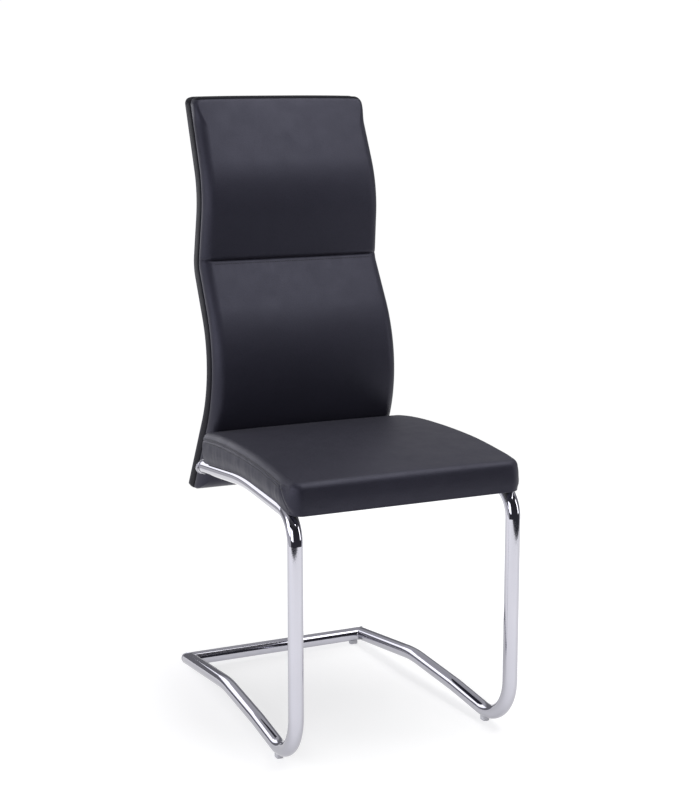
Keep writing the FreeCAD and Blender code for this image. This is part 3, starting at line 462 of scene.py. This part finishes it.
def chrome(name, tint=(.66, .66, .70), r0=.035, r1=.075):
    """Bright plated steel with faint polishing lines, a few dull patches and painted shade towards its edges."""
    m, nt, b = material(name)
    tc = nd(nt, "ShaderNodeTexCoord")
    patch = nd(nt, "ShaderNodeTexNoise", Scale=14.0, Detail=4.0, Roughness=.6)
    fine = nd(nt, "ShaderNodeTexNoise", Scale=420.0, Detail=2.0, Roughness=.5)
    nt.links.new(tc.outputs["Object"], patch.inputs["Vector"])
    nt.links.new(tc.outputs["Object"], fine.inputs["Vector"])
    col = ramp(nt, patch.outputs["Fac"], [(.3, tuple(x * .97 for x in tint)), (.7, tint)])
    # The colour is darkened where the surface turns away from the view: painted shade along the tubes' edges.
    lw = nd(nt, "ShaderNodeLayerWeight")
    lw.inputs["Blend"].default_value = .5
    painted_edge_shade = nd(nt, "ShaderNodeMix", data_type="RGBA", blend_type="MULTIPLY")
    painted_edge_shade.inputs["Factor"].default_value = 1.0
    nt.links.new(col, painted_edge_shade.inputs["A"])
    nt.links.new(ramp(nt, lw.outputs["Facing"], [(.22, 1.0), (.80, .70)]), painted_edge_shade.inputs["B"])
    nt.links.new(painted_edge_shade.outputs["Result"], b.inputs["Base Color"])
    nt.links.new(ramp(nt, patch.outputs["Fac"], [(.3, r0), (.75, r1)]), b.inputs["Roughness"])
    b.inputs["Metallic"].default_value = 1.0
    bp = nd(nt, "ShaderNodeBump", Strength=.035, Distance=.0002)
    nt.links.new(fine.outputs["Fac"], bp.inputs["Height"])
    nt.links.new(bp.outputs["Normal"], b.inputs["Normal"])
    return m


def zinc(name):
    m, nt, b = material(name)
    tc = nd(nt, "ShaderNodeTexCoord")
    sp = nd(nt, "ShaderNodeTexVoronoi", Scale=260.0)
    no = nd(nt, "ShaderNodeTexNoise", Scale=60.0, Detail=4.0)
    nt.links.new(tc.outputs["Object"], sp.inputs["Vector"])
    nt.links.new(tc.outputs["Object"], no.inputs["Vector"])
    nt.links.new(ramp(nt, sp.outputs["Distance"], [(0, (.52, .53, .55)), (.8, (.66, .67, .69))]), b.inputs["Base Color"])
    nt.links.new(ramp(nt, no.outputs["Fac"], [(.3, .28), (.7, .42)]), b.inputs["Roughness"])
    b.inputs["Metallic"].default_value = 1.0
    bp = nd(nt, "ShaderNodeBump", Strength=.1, Distance=.0002)
    nt.links.new(no.outputs["Fac"], bp.inputs["Height"])
    nt.links.new(bp.outputs["Normal"], b.inputs["Normal"])
    return m


def clear_plastic(name):
    m, nt, b = material(name)
    tc = nd(nt, "ShaderNodeTexCoord")
    no = nd(nt, "ShaderNodeTexNoise", Scale=500.0, Detail=3.0)
    wear = nd(nt, "ShaderNodeTexNoise", Scale=120.0, Detail=4.0)
    for n in (no, wear):
        nt.links.new(tc.outputs["Object"], n.inputs["Vector"])
    nt.links.new(ramp(nt, wear.outputs["Fac"], [(.35, (.40, .40, .43)), (.75, (.52, .52, .56))]), b.inputs["Base Color"])
    nt.links.new(ramp(nt, wear.outputs["Fac"], [(.3, .26), (.7, .44)]), b.inputs["Roughness"])
    bp = nd(nt, "ShaderNodeBump", Strength=.10, Distance=.0002)
    nt.links.new(no.outputs["Fac"], bp.inputs["Height"])
    nt.links.new(bp.outputs["Normal"], b.inputs["Normal"])
    return m


def plywood(name):
    m, nt, b = material(name)
    tc = nd(nt, "ShaderNodeTexCoord")
    mp = nd(nt, "ShaderNodeMapping")
    mp.inputs["Scale"].default_value = (30, 3, 30)
    grain = nd(nt, "ShaderNodeTexNoise", Scale=6.0, Detail=8.0, Roughness=.65)
    nt.links.new(tc.outputs["Object"], mp.inputs["Vector"])
    nt.links.new(mp.outputs["Vector"], grain.inputs["Vector"])
    nt.links.new(ramp(nt, grain.outputs["Fac"], [(.3, (.55, .38, .21)), (.7, (.74, .57, .37))]), b.inputs["Base Color"])
    nt.links.new(ramp(nt, grain.outputs["Fac"], [(.3, .6), (.7, .75)]), b.inputs["Roughness"])
    bp = nd(nt, "ShaderNodeBump", Strength=.2, Distance=.0003)
    nt.links.new(grain.outputs["Fac"], bp.inputs["Height"])
    nt.links.new(bp.outputs["Normal"], b.inputs["Normal"])
    return m


def foam(name):
    m, nt, b = material(name)
    tc = nd(nt, "ShaderNodeTexCoord")
    ce = nd(nt, "ShaderNodeTexVoronoi", feature="DISTANCE_TO_EDGE", Scale=700.0)
    nt.links.new(tc.outputs["Object"], ce.inputs["Vector"])
    nt.links.new(ramp(nt, ce.outputs["Distance"], [(0, (.80, .75, .55)), (.3, (.90, .86, .68))]), b.inputs["Base Color"])
    b.inputs["Roughness"].default_value = .95
    bp = nd(nt, "ShaderNodeBump", Strength=.5, Distance=.0005)
    nt.links.new(ce.outputs["Distance"], bp.inputs["Height"])
    nt.links.new(bp.outputs["Normal"], b.inputs["Normal"])
    return m


def lining(name):
    """Thin black non-woven cloth: dotted bond pattern and loose fibres."""
    m, nt, b = material(name)
    tc = nd(nt, "ShaderNodeTexCoord")
    dots = nd(nt, "ShaderNodeTexVoronoi", Scale=420.0)
    dots.inputs["Randomness"].default_value = 0.0
    fib = nd(nt, "ShaderNodeTexNoise", Scale=900.0, Detail=6.0, Roughness=.75)
    nt.links.new(tc.outputs["Object"], dots.inputs["Vector"])
    nt.links.new(tc.outputs["Object"], fib.inputs["Vector"])
    nt.links.new(ramp(nt, fib.outputs["Fac"], [(.3, .012), (.75, .034)]), b.inputs["Base Color"])
    b.inputs["Roughness"].default_value = .9
    b.inputs["Sheen Weight"].default_value = .25
    bp = nd(nt, "ShaderNodeBump", Strength=.6, Distance=.0004)
    nt.links.new(dots.outputs["Distance"], bp.inputs["Height"])
    b2 = nd(nt, "ShaderNodeBump", Strength=.4, Distance=.0003)
    nt.links.new(fib.outputs["Fac"], b2.inputs["Height"])
    nt.links.new(bp.outputs["Normal"], b2.inputs["Normal"])
    nt.links.new(b2.outputs["Normal"], b.inputs["Normal"])
    return m


def thread(name):
    m, nt, b = material(name)
    tc = nd(nt, "ShaderNodeTexCoord")
    w = nd(nt, "ShaderNodeTexWave", Scale=900.0, Distortion=1.0)
    nt.links.new(tc.outputs["Object"], w.inputs["Vector"])
    nt.links.new(ramp(nt, w.outputs["Fac"], [(.2, .012), (.8, .040)]), b.inputs["Base Color"])
    b.inputs["Roughness"].default_value = .55
    bp = nd(nt, "ShaderNodeBump", Strength=.5, Distance=.0002)
    nt.links.new(w.outputs["Fac"], bp.inputs["Height"])
    nt.links.new(bp.outputs["Normal"], b.inputs["Normal"])
    return m


# The second leather is a darker, less glossy copy of the first: its darker colour is painted shade where it is used on
# the backrest's side band and top edge.
M = {"leather": leather("black_faux_leather"), "leather_matte_painted_shade": leather("black_faux_leather_matte_painted_shade", .36, .05), "chrome": chrome("chrome_plate", tint=(.535, .53, .585)), "zinc": zinc("zinc_steel"),
     "plastic": clear_plastic("grey_plastic"), "ply": plywood("birch_plywood"), "foam": foam("open_foam"),
     "lining": lining("black_lining"), "thread": thread("black_thread"),
     "weld": chrome("chrome_weld", tint=(.60, .60, .63), r0=.10, r1=.20)}

NODE_MAT = {"leather_black": "leather", "chrome": "chrome", "zinc_steel": "zinc", "grey_plastic": "plastic", "black_plastic": "plastic",
            "plywood": "ply", "foam": "foam", "black_lining": "lining"}
slot_of = {s["node"]: s["material_slot"] for s in frame["record"]["subparts"]}
for n, o in frame["nodes"].items():
    o.data.materials.clear()
    o.data.materials.append(M[NODE_MAT[slot_of[n]]])


def dress(o, key, slot, *nodes):
    o.data.materials.clear()
    o.data.materials.append(M[key])
    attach(o, "root")
    if nodes:
        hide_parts(*nodes)


# ---------------------------------------------------------------------------
# backrest
# ---------------------------------------------------------------------------
BZ0, BZ1 = .3602, 1.0608
BT = .0505                                   # from rear surface to front surface
SEAM_Z = .7765
BK_TAPER, BK_REF, BK_HALF = .028, .776, .1718


def back_half(z):
    return BK_HALF - BK_TAPER * (z - BK_REF)


def spaced(n, dense=1.0):
    t = np.linspace(0, 1, n)
    return t


def back_rows():
    """Rows up the side edges: closer near the seam, one exactly on it."""
    z0, z1 = BZ0 + .006, BZ1 - .020          # straight part of the side edge
    f = (SEAM_Z - z0) / (z1 - z0)
    lo = np.concatenate([np.linspace(0, f - .028, 92), f - .028 + .028 * (1 - (1 - np.linspace(0, 1, 13)) ** 1.7)[1:]])
    hi = np.concatenate([f + .028 * (np.linspace(0, 1, 13)[1:-1] ** 1.7), np.linspace(f + .028, 1, 66)])
    return np.concatenate([lo, hi])


BK = Skin([(-back_half(BZ0), BZ0), (back_half(BZ0), BZ0), (back_half(BZ1), BZ1), (-back_half(BZ1), BZ1)],
          [.006, .006, .013, .013], np.linspace(0, 1, 90), back_rows(), arc=6)
RF, RR = .0195, .0055                         # front and rear edge rounding
SEAM_F, SEAM_R = BT - .0215, .0065            # the two seams round the side band
lev = [(e, BT - dd) for e, dd in quarter(RF, 15, True)]
lev = [(e, t) for e, t in lev]
side = np.concatenate([np.linspace(BT - RF, SEAM_F + .0016, 3)[1:], SEAM_F + np.array([.0010, .0005, 0, -.0005, -.0010, -.0016]),
                       np.linspace(SEAM_F - .0016, SEAM_R + .0016, 9)[1:], SEAM_R + np.array([.0010, .0005, 0, -.0005, -.0010])])
side = np.array(sorted(set(np.round(side, 7)), reverse=True))
lev += [(0.0, t) for t in side if t < BT - RF - 1e-6 and t > RR + 1e-6]
lev += [(e, d) for e, d in [(RR - RR * math.cos(w), RR - RR * math.sin(w)) for w in np.linspace(0, math.pi / 2, 7)]]
bp2, bt, be, bf, bs = BK.build(lev)
# the rounding is tighter along the top edge than down the sides
RTOP = .0085
ring0 = BK.ring(0.0)
nr = len(ring0)
for k in range(len(lev)):
    sl = slice(k * nr, (k + 1) * nr)
    wt = smooth(BZ1 - .050, BZ1 - .014, ring0[:, 1]) * (1 - RTOP / RF)
    if lev[k][1] >= BT - RF - 1e-6:
        bp2[sl] += (ring0 - bp2[sl]) * wt[:, None]
        bt[sl] = BT - (BT - bt[sl]) * (1 - wt)
    elif lev[k][1] > SEAM_F + .0016:
        f = (lev[k][1] - SEAM_F - .0016) / (BT - RF - SEAM_F - .0016)
        bt[sl] += f * RF * wt


def back_world(p2, t, e, puff=True):
    x, z = p2[:, 0].copy(), p2[:, 1].copy()
    wz = back_half(z)
    ax = np.clip(np.abs(x) / wz, 0, 1)
    d = t.copy()
    front = smooth(BT - RF, BT - RF * .35, t)
    # each panel is a little fuller in its middle and rolls down into the seam
    dz = z - SEAM_Z
    roll = np.where(dz >= 0, .0075, .0090)
    k = np.clip(1 - np.abs(dz) / roll, 0, 1)
    groove = 1 - np.sqrt(np.clip(1 - k * k, 0, 1))
    up = np.clip((z - SEAM_Z) / (BZ1 - SEAM_Z), 0, 1)
    lo = np.clip((SEAM_Z - z) / (SEAM_Z - BZ0), 0, 1)
    crown = (1 - ax ** 2.6)
    full = np.where(z >= SEAM_Z, np.sin(np.pi * up) ** .7, np.sin(np.pi * lo) ** .6)
    if puff:
        # short pull marks run out of the seam
        mark = np.sin(x * 6.283 / .0145 + 1.7 * np.sin(x * 41 + .4) + 2.0 * np.sin(x * 17)) * np.exp(-np.abs(dz) / .010)
        mark = mark * smooth(.0010, .0040, np.abs(dz)) * (1 - smooth(.93, 1, ax))
        # a turned lip along the top of the lower panel
        lip = np.exp(-((dz + .0030) / .0016) ** 2)
        d = d + front * (crown * (.0016 + .0036 * full) - .0058 * groove * (1 - .55 * smooth(.90, 1, ax)) + .00032 * mark
                         + .0007 * lip)
        # the cover is drawn in a little at the seam where it goes over the edge
        zone = smooth(.0, .006, t - SEAM_F)
        x = x * (1 - .0030 * groove * zone)
        # the corners of the two panels pull in slightly
        for zc, zs in ((BZ1, -1), (BZ0, 1)):
            near = np.exp(-(((z - zc) / .040) ** 2 + ((1 - ax) * wz / .040) ** 2))
            d = d - .0010 * near * front
    # the two seams of the side band pull in, the cloth between them stands proud
    pull = .0011 * np.exp(-((t - SEAM_F) / .0011) ** 2) + .0009 * np.exp(-((t - SEAM_R) / .0010) ** 2)
    belly = .0008 * smooth(SEAM_R, SEAM_R + .008, t) * (1 - smooth(SEAM_F - .008, SEAM_F, t))
    sidef = (e < .004)
    off = (belly - pull) * sidef
    nx = np.where(ax > .6, np.sign(x), 0.0)
    topz = smooth(BZ1 - .012, BZ1 - .004, z)
    # the top edge is very slightly domed
    z = z - .0016 * ax ** 3 * smooth(BZ1 - .10, BZ1, z) - .0004 * smooth(BZ1 - .10, BZ1, z)
    botz = 1 - smooth(BZ0 + .002, BZ0 + .008, z)
    x = x + off * nx * (1 - .8 * topz) - .0012 * nx * 0
    z = z + off * topz - off * botz
    # the depth becomes y along the backrest's side-view line
    y = back_y(z, d)
    v = np.stack([x, y, z], 1)
    return v, d


def fine_relief(v, nrm_y, amp, scale, seed):
    return amp * ripple(v, scale, seed)


bv, bd = back_world(bp2, bt, be)
bfac = np.array([[f[0], f[1], f[2], f[3]] for f in bf])
fz = bv[bfac].mean(1)[:, 2]
fpz = bp2[bfac].mean(1)[:, 1]
ft = bt[bfac].mean(1)
is_front = (bs == -1) | ((bs >= 0) & (ft > SEAM_F))
is_rear = (bs == -2) | ((bs >= 0) & (ft < SEAM_R))
is_band = ~is_front & ~is_rear

upper = part_of("back_cushion_upper", bv, bf, is_front & (fpz > SEAM_Z))
lower = part_of("back_cushion_lower", bv, bf, is_front & (fpz <= SEAM_Z))
band = part_of("back_edge_band", bv, bf, is_band)
rear = part_of("back_rear_panel", bv, bf, is_rear)
for o in (upper, lower, band, rear):
    outward(o)
dress(upper, "leather", "leather_black", "back_cover_upper", "back_foam_upper")
dress(lower, "leather", "leather_black", "back_cover_lower", "back_foam_lower")
# The side band takes the darker copy of the leather: painted shade down the backrest's sides.
dress(band, "leather_matte_painted_shade", "leather_black", "back_side_band", "back_bottom_strip")
dress(rear, "leather", "leather_black", "back_cover_rear", "back_rear_padding")
# Upward-facing faces along the very top of the upper panel take the darker, less glossy leather: a painted shaded strip
# along the top edge.
upper.data.materials.append(M["leather_matte_painted_shade"])
for pl in upper.data.polygons:
    if pl.center[2] > BZ1 - .007 and pl.normal[2] > .75:
        pl.material_index = 1

# ---------------------------------------------------------------------------
# seat
# ---------------------------------------------------------------------------
SY0, SY1 = -.2879, .1365
ST = .048


def seat_half(y):
    return .2060 - .030 * (y + .1861)


EDGE_Y = [-.330, -.288, -.261, -.226, -.191, -.150, -.117, -.069, -.020, .031, .084, .117, .160]
EDGE_Z = [.4770, .4785, .4797, .4830, .4865, .4898, .4912, .4920, .4916, .4900, .4860, .4820, .4750]


def seat_top(y):
    return spline(EDGE_Y, EDGE_Z, y)


def seat_bot(y):
    lip = spline([-.300, -.288, -.270, -.260, -.250, -.240, -.228, -.210],
                 [-.0078, -.0074, -.0072, -.0064, -.0046, -.0026, -.0008, 0.0], np.clip(y, -.300, -.210))
    ru = .019
    du = np.clip(y - (SY1 - ru), 0, ru * .995)
    up = ru - np.sqrt(ru * ru - du * du)
    return rail_z(y) + .0131 + lip + up


SK = Skin([(-seat_half(SY0), SY0), (seat_half(SY0), SY0), (seat_half(SY1), SY1), (-seat_half(SY1), SY1)],
          [.018, .018, .013, .013], np.linspace(0, 1, 100),
          np.concatenate([np.linspace(0, .15, 46), np.linspace(.15, 1, 92)[1:]]), arc=8)
RT, RB = .0125, .0045
LIP = .0030                                    # the hem hangs this far over the rail's outer side
SEAM_T = .0125                                 # seam below the top
slev = [(e, ST - dd) for e, dd in quarter(RT, 12, True)]
sside = np.concatenate([ST - SEAM_T + np.array([-.0004, -.0008, -.0014, -.0020, -.003]),
                        np.linspace(ST - SEAM_T - .003, RB, 12)[1:-1]])
slev += [(0.0, t) for t in sside]
slev += [(0.0, .0024), (0.0, .0006), (0.0, -.0008)]
slev += [(.0014 - .0014 * math.cos(w), .0014 - LIP - .0014 * math.sin(w)) for w in np.linspace(.15, math.pi / 2, 5)]
slev += [(.0026, -LIP), (.0034, .0003 - LIP), (.0040, .0016 - LIP), (.0047, -.0003), (.0065, 0.0), (.010, .0002), (.014, .0004)]
sp2, st_, se, sf, ss = SK.build(slev)


def seat_world(p2, t, e):
    x, y = p2[:, 0].copy(), p2[:, 1].copy()
    w = seat_half(y)
    ax = np.clip(np.abs(x) / w, 0, 1)
    zt, zb = seat_top(y), seat_bot(y)
    # distances from the edges
    fr = np.clip((y - SY0) / .10, 0, 1)
    rr = np.clip((SY1 - y) / .10, 0, 1)
    crown = (1 - ax ** 3.0) * (1 - (1 - fr) ** 2.4) * (1 - (1 - rr) ** 2.2)
    top_side = smooth(ST - RT, ST - RT * .3, t)
    # front edge rolls over with a larger radius
    roll = .0012 * (1 - smooth(0, .030, y - SY0)) ** 1.6
    zt2 = zt - roll + .0048 * crown * top_side
    # level between bottom and top: the rounded parts keep their size
    T = zt2 - zb
    z = np.where(t > ST * .5, zt2 - (ST - t) * np.where(t > ST - RT - .003, 1.0, (T - .0) / ST), zb + t * (T / ST))
    k = (T - ST) / ST
    z = zb + t + (T - ST) * smooth(RB, ST - RT, t)
    # the front of the seat draws in a little towards its two corners
    draw = .0058 * (1 - smooth(SY0 - .004, SY0 + .056, y)) ** 1.25
    x = x * (1 - draw / w)
    # where the boxing ends: a seam running down and forwards on each side
    end_y = SY0 + .048 - .036 * np.clip((ST - SEAM_T - t) / (ST - SEAM_T), 0, 1)
    # seam below the top edge on the two sides and at the rear
    at_side = (e < .002)
    not_front = smooth(-.002, .004, y - end_y)
    end_pull = .0016 * np.exp(-((y - end_y) / .0022) ** 2) * (t < ST - SEAM_T + .001) * smooth(-.004, .004, t)
    end_fold = .0014 * np.exp(-((y - end_y + .009) / .0065) ** 2) * smooth(-.002, .008, t) * (t < ST - SEAM_T + .002)
    pull = .0012 * np.exp(-((t - (ST - SEAM_T - .0008)) / .0010) ** 2) * at_side * not_front
    belly = .0022 * np.sin(np.pi * np.clip((t - .002) / (ST - SEAM_T - .002), 0, 1)) ** .8 * at_side
    soft = ripple(np.stack([x, y, z], 1), .045, 5, 2)
    # upright creases in the boxing, where the cover is stretched round the bend
    yy = y + .25 * (z - zb) * np.sign(x) * 0
    cre = (ripple(np.stack([yy, .30 * (z - zb), .02 * np.sign(x)], 1), .034, 11, 2) +
           .55 * ripple(np.stack([yy, .22 * (z - zb), .02 * np.sign(x)], 1), .0135, 23, 1))
    fade = np.sin(np.pi * np.clip((t + .001) / (ST - SEAM_T), 0, 1)) ** .6
    side_w = smooth(0, .010, y - end_y)
    off = belly - pull + (end_fold - end_pull) * at_side + (.00048 * soft + .00040 * cre * side_w) * fade * at_side * (t < ST - SEAM_T)
    gx = np.where(ax > .55, np.sign(x), 0.0)
    fy = 1 - smooth(SY0, SY0 + .020, y)
    ry = smooth(SY1 - .008, SY1, y)
    x = x + gx * off * (1 - .85 * fy) * (1 - .85 * ry)
    y = y - off * fy * .7 + off * ry * .6
    # the rear rests against the backrest and takes its slope
    lim = back_y(z, BT + .0018) - .0006
    w_in = 1 - smooth(.1815, .1885, np.abs(x))
    y = np.where(y > lim, y + (lim - y) * w_in, y)
    return np.stack([x, y, z], 1)


sv = seat_world(sp2, st_, se)
sfac = np.array([[f[0], f[1], f[2], f[3]] for f in sf])
sft = st_[sfac].mean(1)
sfy = sp2[sfac].mean(1)[:, 1]
sfe = se[sfac].mean(1)
cover_top = (ss == -1) | ((ss >= 0) & (sft > ST - SEAM_T - .0008))
front_drop = (ss >= 0) & (sfy < SY0 + .0145) & (np.abs(sp2[sfac].mean(1)[:, 0]) < seat_half(SY0) + 1)
under = (ss == -2)
seat_top_piece = part_of("seat_cushion", sv, sf, (cover_top | front_drop) & ~under)
seat_band_piece = part_of("seat_edge_band", sv, sf, ~(cover_top | front_drop) & ~under)
for o in (seat_top_piece, seat_band_piece):
    outward(o)
dress(seat_top_piece, "leather", "leather_black", "seat_cover_top", "seat_foam")
dress(seat_band_piece, "leather", "leather_black", "seat_side_band")

# ---------------------------------------------------------------------------
# sewing threads and weld beads
# ---------------------------------------------------------------------------


def sew(name, runs, **kw):
    V, F = [], []
    for path, nrm in runs:
        v, f = stitches(path, nrm, **kw)
        off = len(V)
        V += v
        F += [tuple(i + off for i in q) for q in f]
    o = add_mesh(name, V, F)
    outward(o)
    dress(o, "thread", "leather_black")
    return o


xs = np.linspace(-.150, .150, 160)
for_seam = []
for dzs in (-.0062,):
    p2 = np.stack([xs, np.full_like(xs, SEAM_Z + dzs)], 1)
    v, _ = back_world(p2, np.full(len(xs), BT), np.full(len(xs), .03))
    p2b = p2 + np.array([0, .002])
    vb, _ = back_world(p2b, np.full(len(xs), BT), np.full(len(xs), .03))
    tz = vb - v
    nn = np.stack([np.zeros(len(xs)), -tz[:, 2], tz[:, 1]], 1)
    for_seam.append((v, nn / np.linalg.norm(nn, axis=1)[:, None]))
sew("back_seam_thread", for_seam)

runs = []
for s in (-1, 1):
    for ex, tt in ((.0004, ST - .0096), (0.0, ST - SEAM_T - .0038)):
        yv = np.linspace(SY0 + .030, SY1 - .020, 170)
        p2 = np.stack([s * (seat_half(yv) - ex), yv], 1)
        v = seat_world(p2, np.full(len(yv), tt), np.full(len(yv), ex))
        nn = np.tile(np.array([s * 1.0, 0, .20 if ex else 0.0]), (len(yv), 1))
        runs.append((v, nn / np.linalg.norm(nn, axis=1)[:, None]))
sew("seat_seam_thread", runs)


def bead(name, centre, axis, plane, radius, thick=.0011):
    """A weld bead where a round tube (centre, axis, radius) meets a plane."""
    c, a, n = (np.array(q, float) for q in (centre, axis, plane))
    a /= np.linalg.norm(a)
    n /= np.linalg.norm(n)
    u = np.cross(a, [0, 0, 1.0])
    u /= np.linalg.norm(u)
    w = np.cross(a, u)
    th = np.linspace(0, 2 * math.pi, 73)[:-1]
    pts = c + radius * (np.cos(th)[:, None] * u + np.sin(th)[:, None] * w)
    lam = -((pts - c) @ n) / (a @ n)
    pts = pts + lam[:, None] * a
    v, f = tube_along(name, pts, thick, 8, closed=True)
    v = np.array(v)
    v = v + (v - np.repeat(pts, 8, 0)) * (.10 * np.sin(np.repeat(th, 8) * 24 + .5 * np.sin(np.repeat(th, 8) * 7)))[:, None]
    o = add_mesh(name, v, f)
    outward(o)
    dress(o, "weld", "chrome")
    return o


for word, s in (("left", -1), ("right", 1)):
    lo_, hi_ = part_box("side_tube_" + word)
    rt_lo, rt_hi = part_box("rear_floor_tube")
    yc, zc = (rt_lo[1] + rt_hi[1]) / 2, (rt_lo[2] + rt_hi[2]) / 2
    xc = s * (.1934 - .0345 * (yc + .1861))
    a = np.array([-s * .0345, 1.0, 0.0])
    a /= np.linalg.norm(a)
    b2 = np.array([-s * 1.0, 0.0, 0.0])
    bead("corner_weld_" + word, (xc, yc, zc), b2, a + b2, .0124, .0009)
    d_lo, d_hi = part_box("rail_end_disc_" + word)
    cx, cy, cz = ((d_lo[i] + d_hi[i]) / 2 for i in range(3))
    ax_ = np.array([-s * .0345, 1.0, -.1062])
    ax_ /= np.linalg.norm(ax_)
    bead("disc_weld_" + word, np.array([cx, cy, cz]) - ax_ * .0021, ax_, ax_, .0126, .0012)

# ---------------------------------------------------------------------------
# floor, lights, camera
# ---------------------------------------------------------------------------
fm, nt, b = material("pale_floor_painted_shadow")
b.inputs["Roughness"].default_value = .9
b.inputs["Specular IOR Level"].default_value = .05
tcn = nd(nt, "ShaderNodeTexCoord")
dist = nd(nt, "ShaderNodeVectorMath", operation="LENGTH")
nt.links.new(tcn.outputs["Object"], dist.inputs[0])
# The floor's glow is dimmer near its centre and brighter further out: a painted soft shadow pool under the chair.
nt.links.new(ramp(nt, dist.outputs["Value"], [(.05, .60), (.25, .65), (.42, .75), (.55, .78), (1.0, .86)]), b.inputs["Emission Color"])
b.inputs["Emission Strength"].default_value = 1.0
nz = nd(nt, "ShaderNodeTexNoise", Scale=3.0, Detail=3.0)
nt.links.new(tcn.outputs["Object"], nz.inputs["Vector"])
nt.links.new(ramp(nt, nz.outputs["Fac"], [(.3, .44), (.7, .46)]), b.inputs["Base Color"])
FR, NS = 1.60, 128
ring = [(FR * math.cos(2 * math.pi * k / NS), FR * math.sin(2 * math.pi * k / NS), 0) for k in range(NS)]
floor = add_mesh("floor", ring, [tuple(range(NS))], False)
floor.data.materials.append(fm)

world = bpy.data.worlds.new("studio")
scene.world = world
world.use_nodes = True
wt = world.node_tree
bg = wt.nodes["Background"]
seen = wt.nodes.new("ShaderNodeBackground")
seen.inputs["Color"].default_value = (1, 1, 1, 1)
seen.inputs["Strength"].default_value = 1.02
wc = wt.nodes.new("ShaderNodeTexCoord")
sep = wt.nodes.new("ShaderNodeSeparateXYZ")
wt.links.new(wc.outputs["Generated"], sep.inputs["Vector"])
half = nd(wt, "ShaderNodeMath", operation="MULTIPLY_ADD")
half.inputs[1].default_value = .5
half.inputs[2].default_value = .5
wt.links.new(sep.outputs["Z"], half.inputs[0])
# front of the studio: dark above the horizon, pale ground that falls off close below
front = ramp(wt, half.outputs[0], [(.0, (.05, .05, .06)), (.50, (.04, .04, .05)), (.80, (.03, .03, .035)), (1.0, (.10, .10, .11))])
# rear of the studio: pale wall
back = ramp(wt, half.outputs[0], [(.0, (.50, .50, .52)), (.40, (.70, .70, .73)), (.465, (.72, .72, .75)), (.495, (.24, .24, .26)), (.64, (.24, .24, .26)), (.72, (.66, .66, .69)),
                                   (.88, (.50, .50, .52)), (1.0, (.50, .50, .52))])
side = nd(wt, "ShaderNodeMath", operation="MULTIPLY_ADD")
side.inputs[1].default_value = .5
side.inputs[2].default_value = .5
wt.links.new(sep.outputs["Y"], side.inputs[0])
blend = nd(wt, "ShaderNodeMix", data_type="RGBA")
wt.links.new(ramp(wt, side.outputs[0], [(.40, 0.0), (.52, 1.0)]), blend.inputs["Factor"])
wt.links.new(front, blend.inputs["A"])
wt.links.new(back, blend.inputs["B"])
wt.links.new(blend.outputs["Result"], bg.inputs["Color"])
bg.inputs["Strength"].default_value = 1.0
lp = wt.nodes.new("ShaderNodeLightPath")
mx = wt.nodes.new("ShaderNodeMixShader")
wt.links.new(lp.outputs["Is Camera Ray"], mx.inputs[0])
wt.links.new(bg.outputs[0], mx.inputs[1])
wt.links.new(seen.outputs[0], mx.inputs[2])
wt.links.new(mx.outputs[0], wt.nodes["World Output"].inputs["Surface"])


def area(name, loc, target, size, power, size_y=None, color=(1, 1, 1)):
    l = bpy.data.lights.new(name, "AREA")
    l.energy = power
    l.color = color
    l.shape = "RECTANGLE"
    l.size = size
    l.size_y = size_y or size
    o = bpy.data.objects.new(name, l)
    scene.collection.objects.link(o)
    o.location = loc
    o.rotation_euler = (Vector(target) - Vector(loc)).to_track_quat("-Z", "Y").to_euler()
    return o


area("top_soft", (.58, -.66, 2.45), (.05, -.05, .55), 1.8, 36.5, 1.8)
area("rear_soft", (-.72, 1.50, .80), (-.25, .2, .5), 1.15, 4.6, .66, color=(.96, .96, 1.0))
area("left_side_soft", (-2.1, .05, 1.05), (0, .1, .80), 1.1, 13, 1.2, color=(.95, .95, 1.0))
area("left_soft", (-2.1, -1.35, .95), (0, 0, .85), 1.3, 13, 1.3, color=(.96, .96, 1.0))
area("right_soft", (2.2, -1.3, 1.0), (0, 0, .7), .6, 9, 1.4)

cam = bpy.data.cameras.new("camera")
cam.sensor_width = 36.0
cam.lens = 36.0 * 1714.675 / 800.0
cam.clip_start, cam.clip_end = .05, 100
co = bpy.data.objects.new("camera", cam)
scene.collection.objects.link(co)
co.location = (-1.22638, -2.65538 + YS, 1.10109)
co.rotation_euler = (math.pi / 2 - .18843, 0, -.44352)
scene.camera = co

scene.view_settings.view_transform = "Standard"
scene.view_settings.look = "None"
scene.view_settings.exposure = 0.0
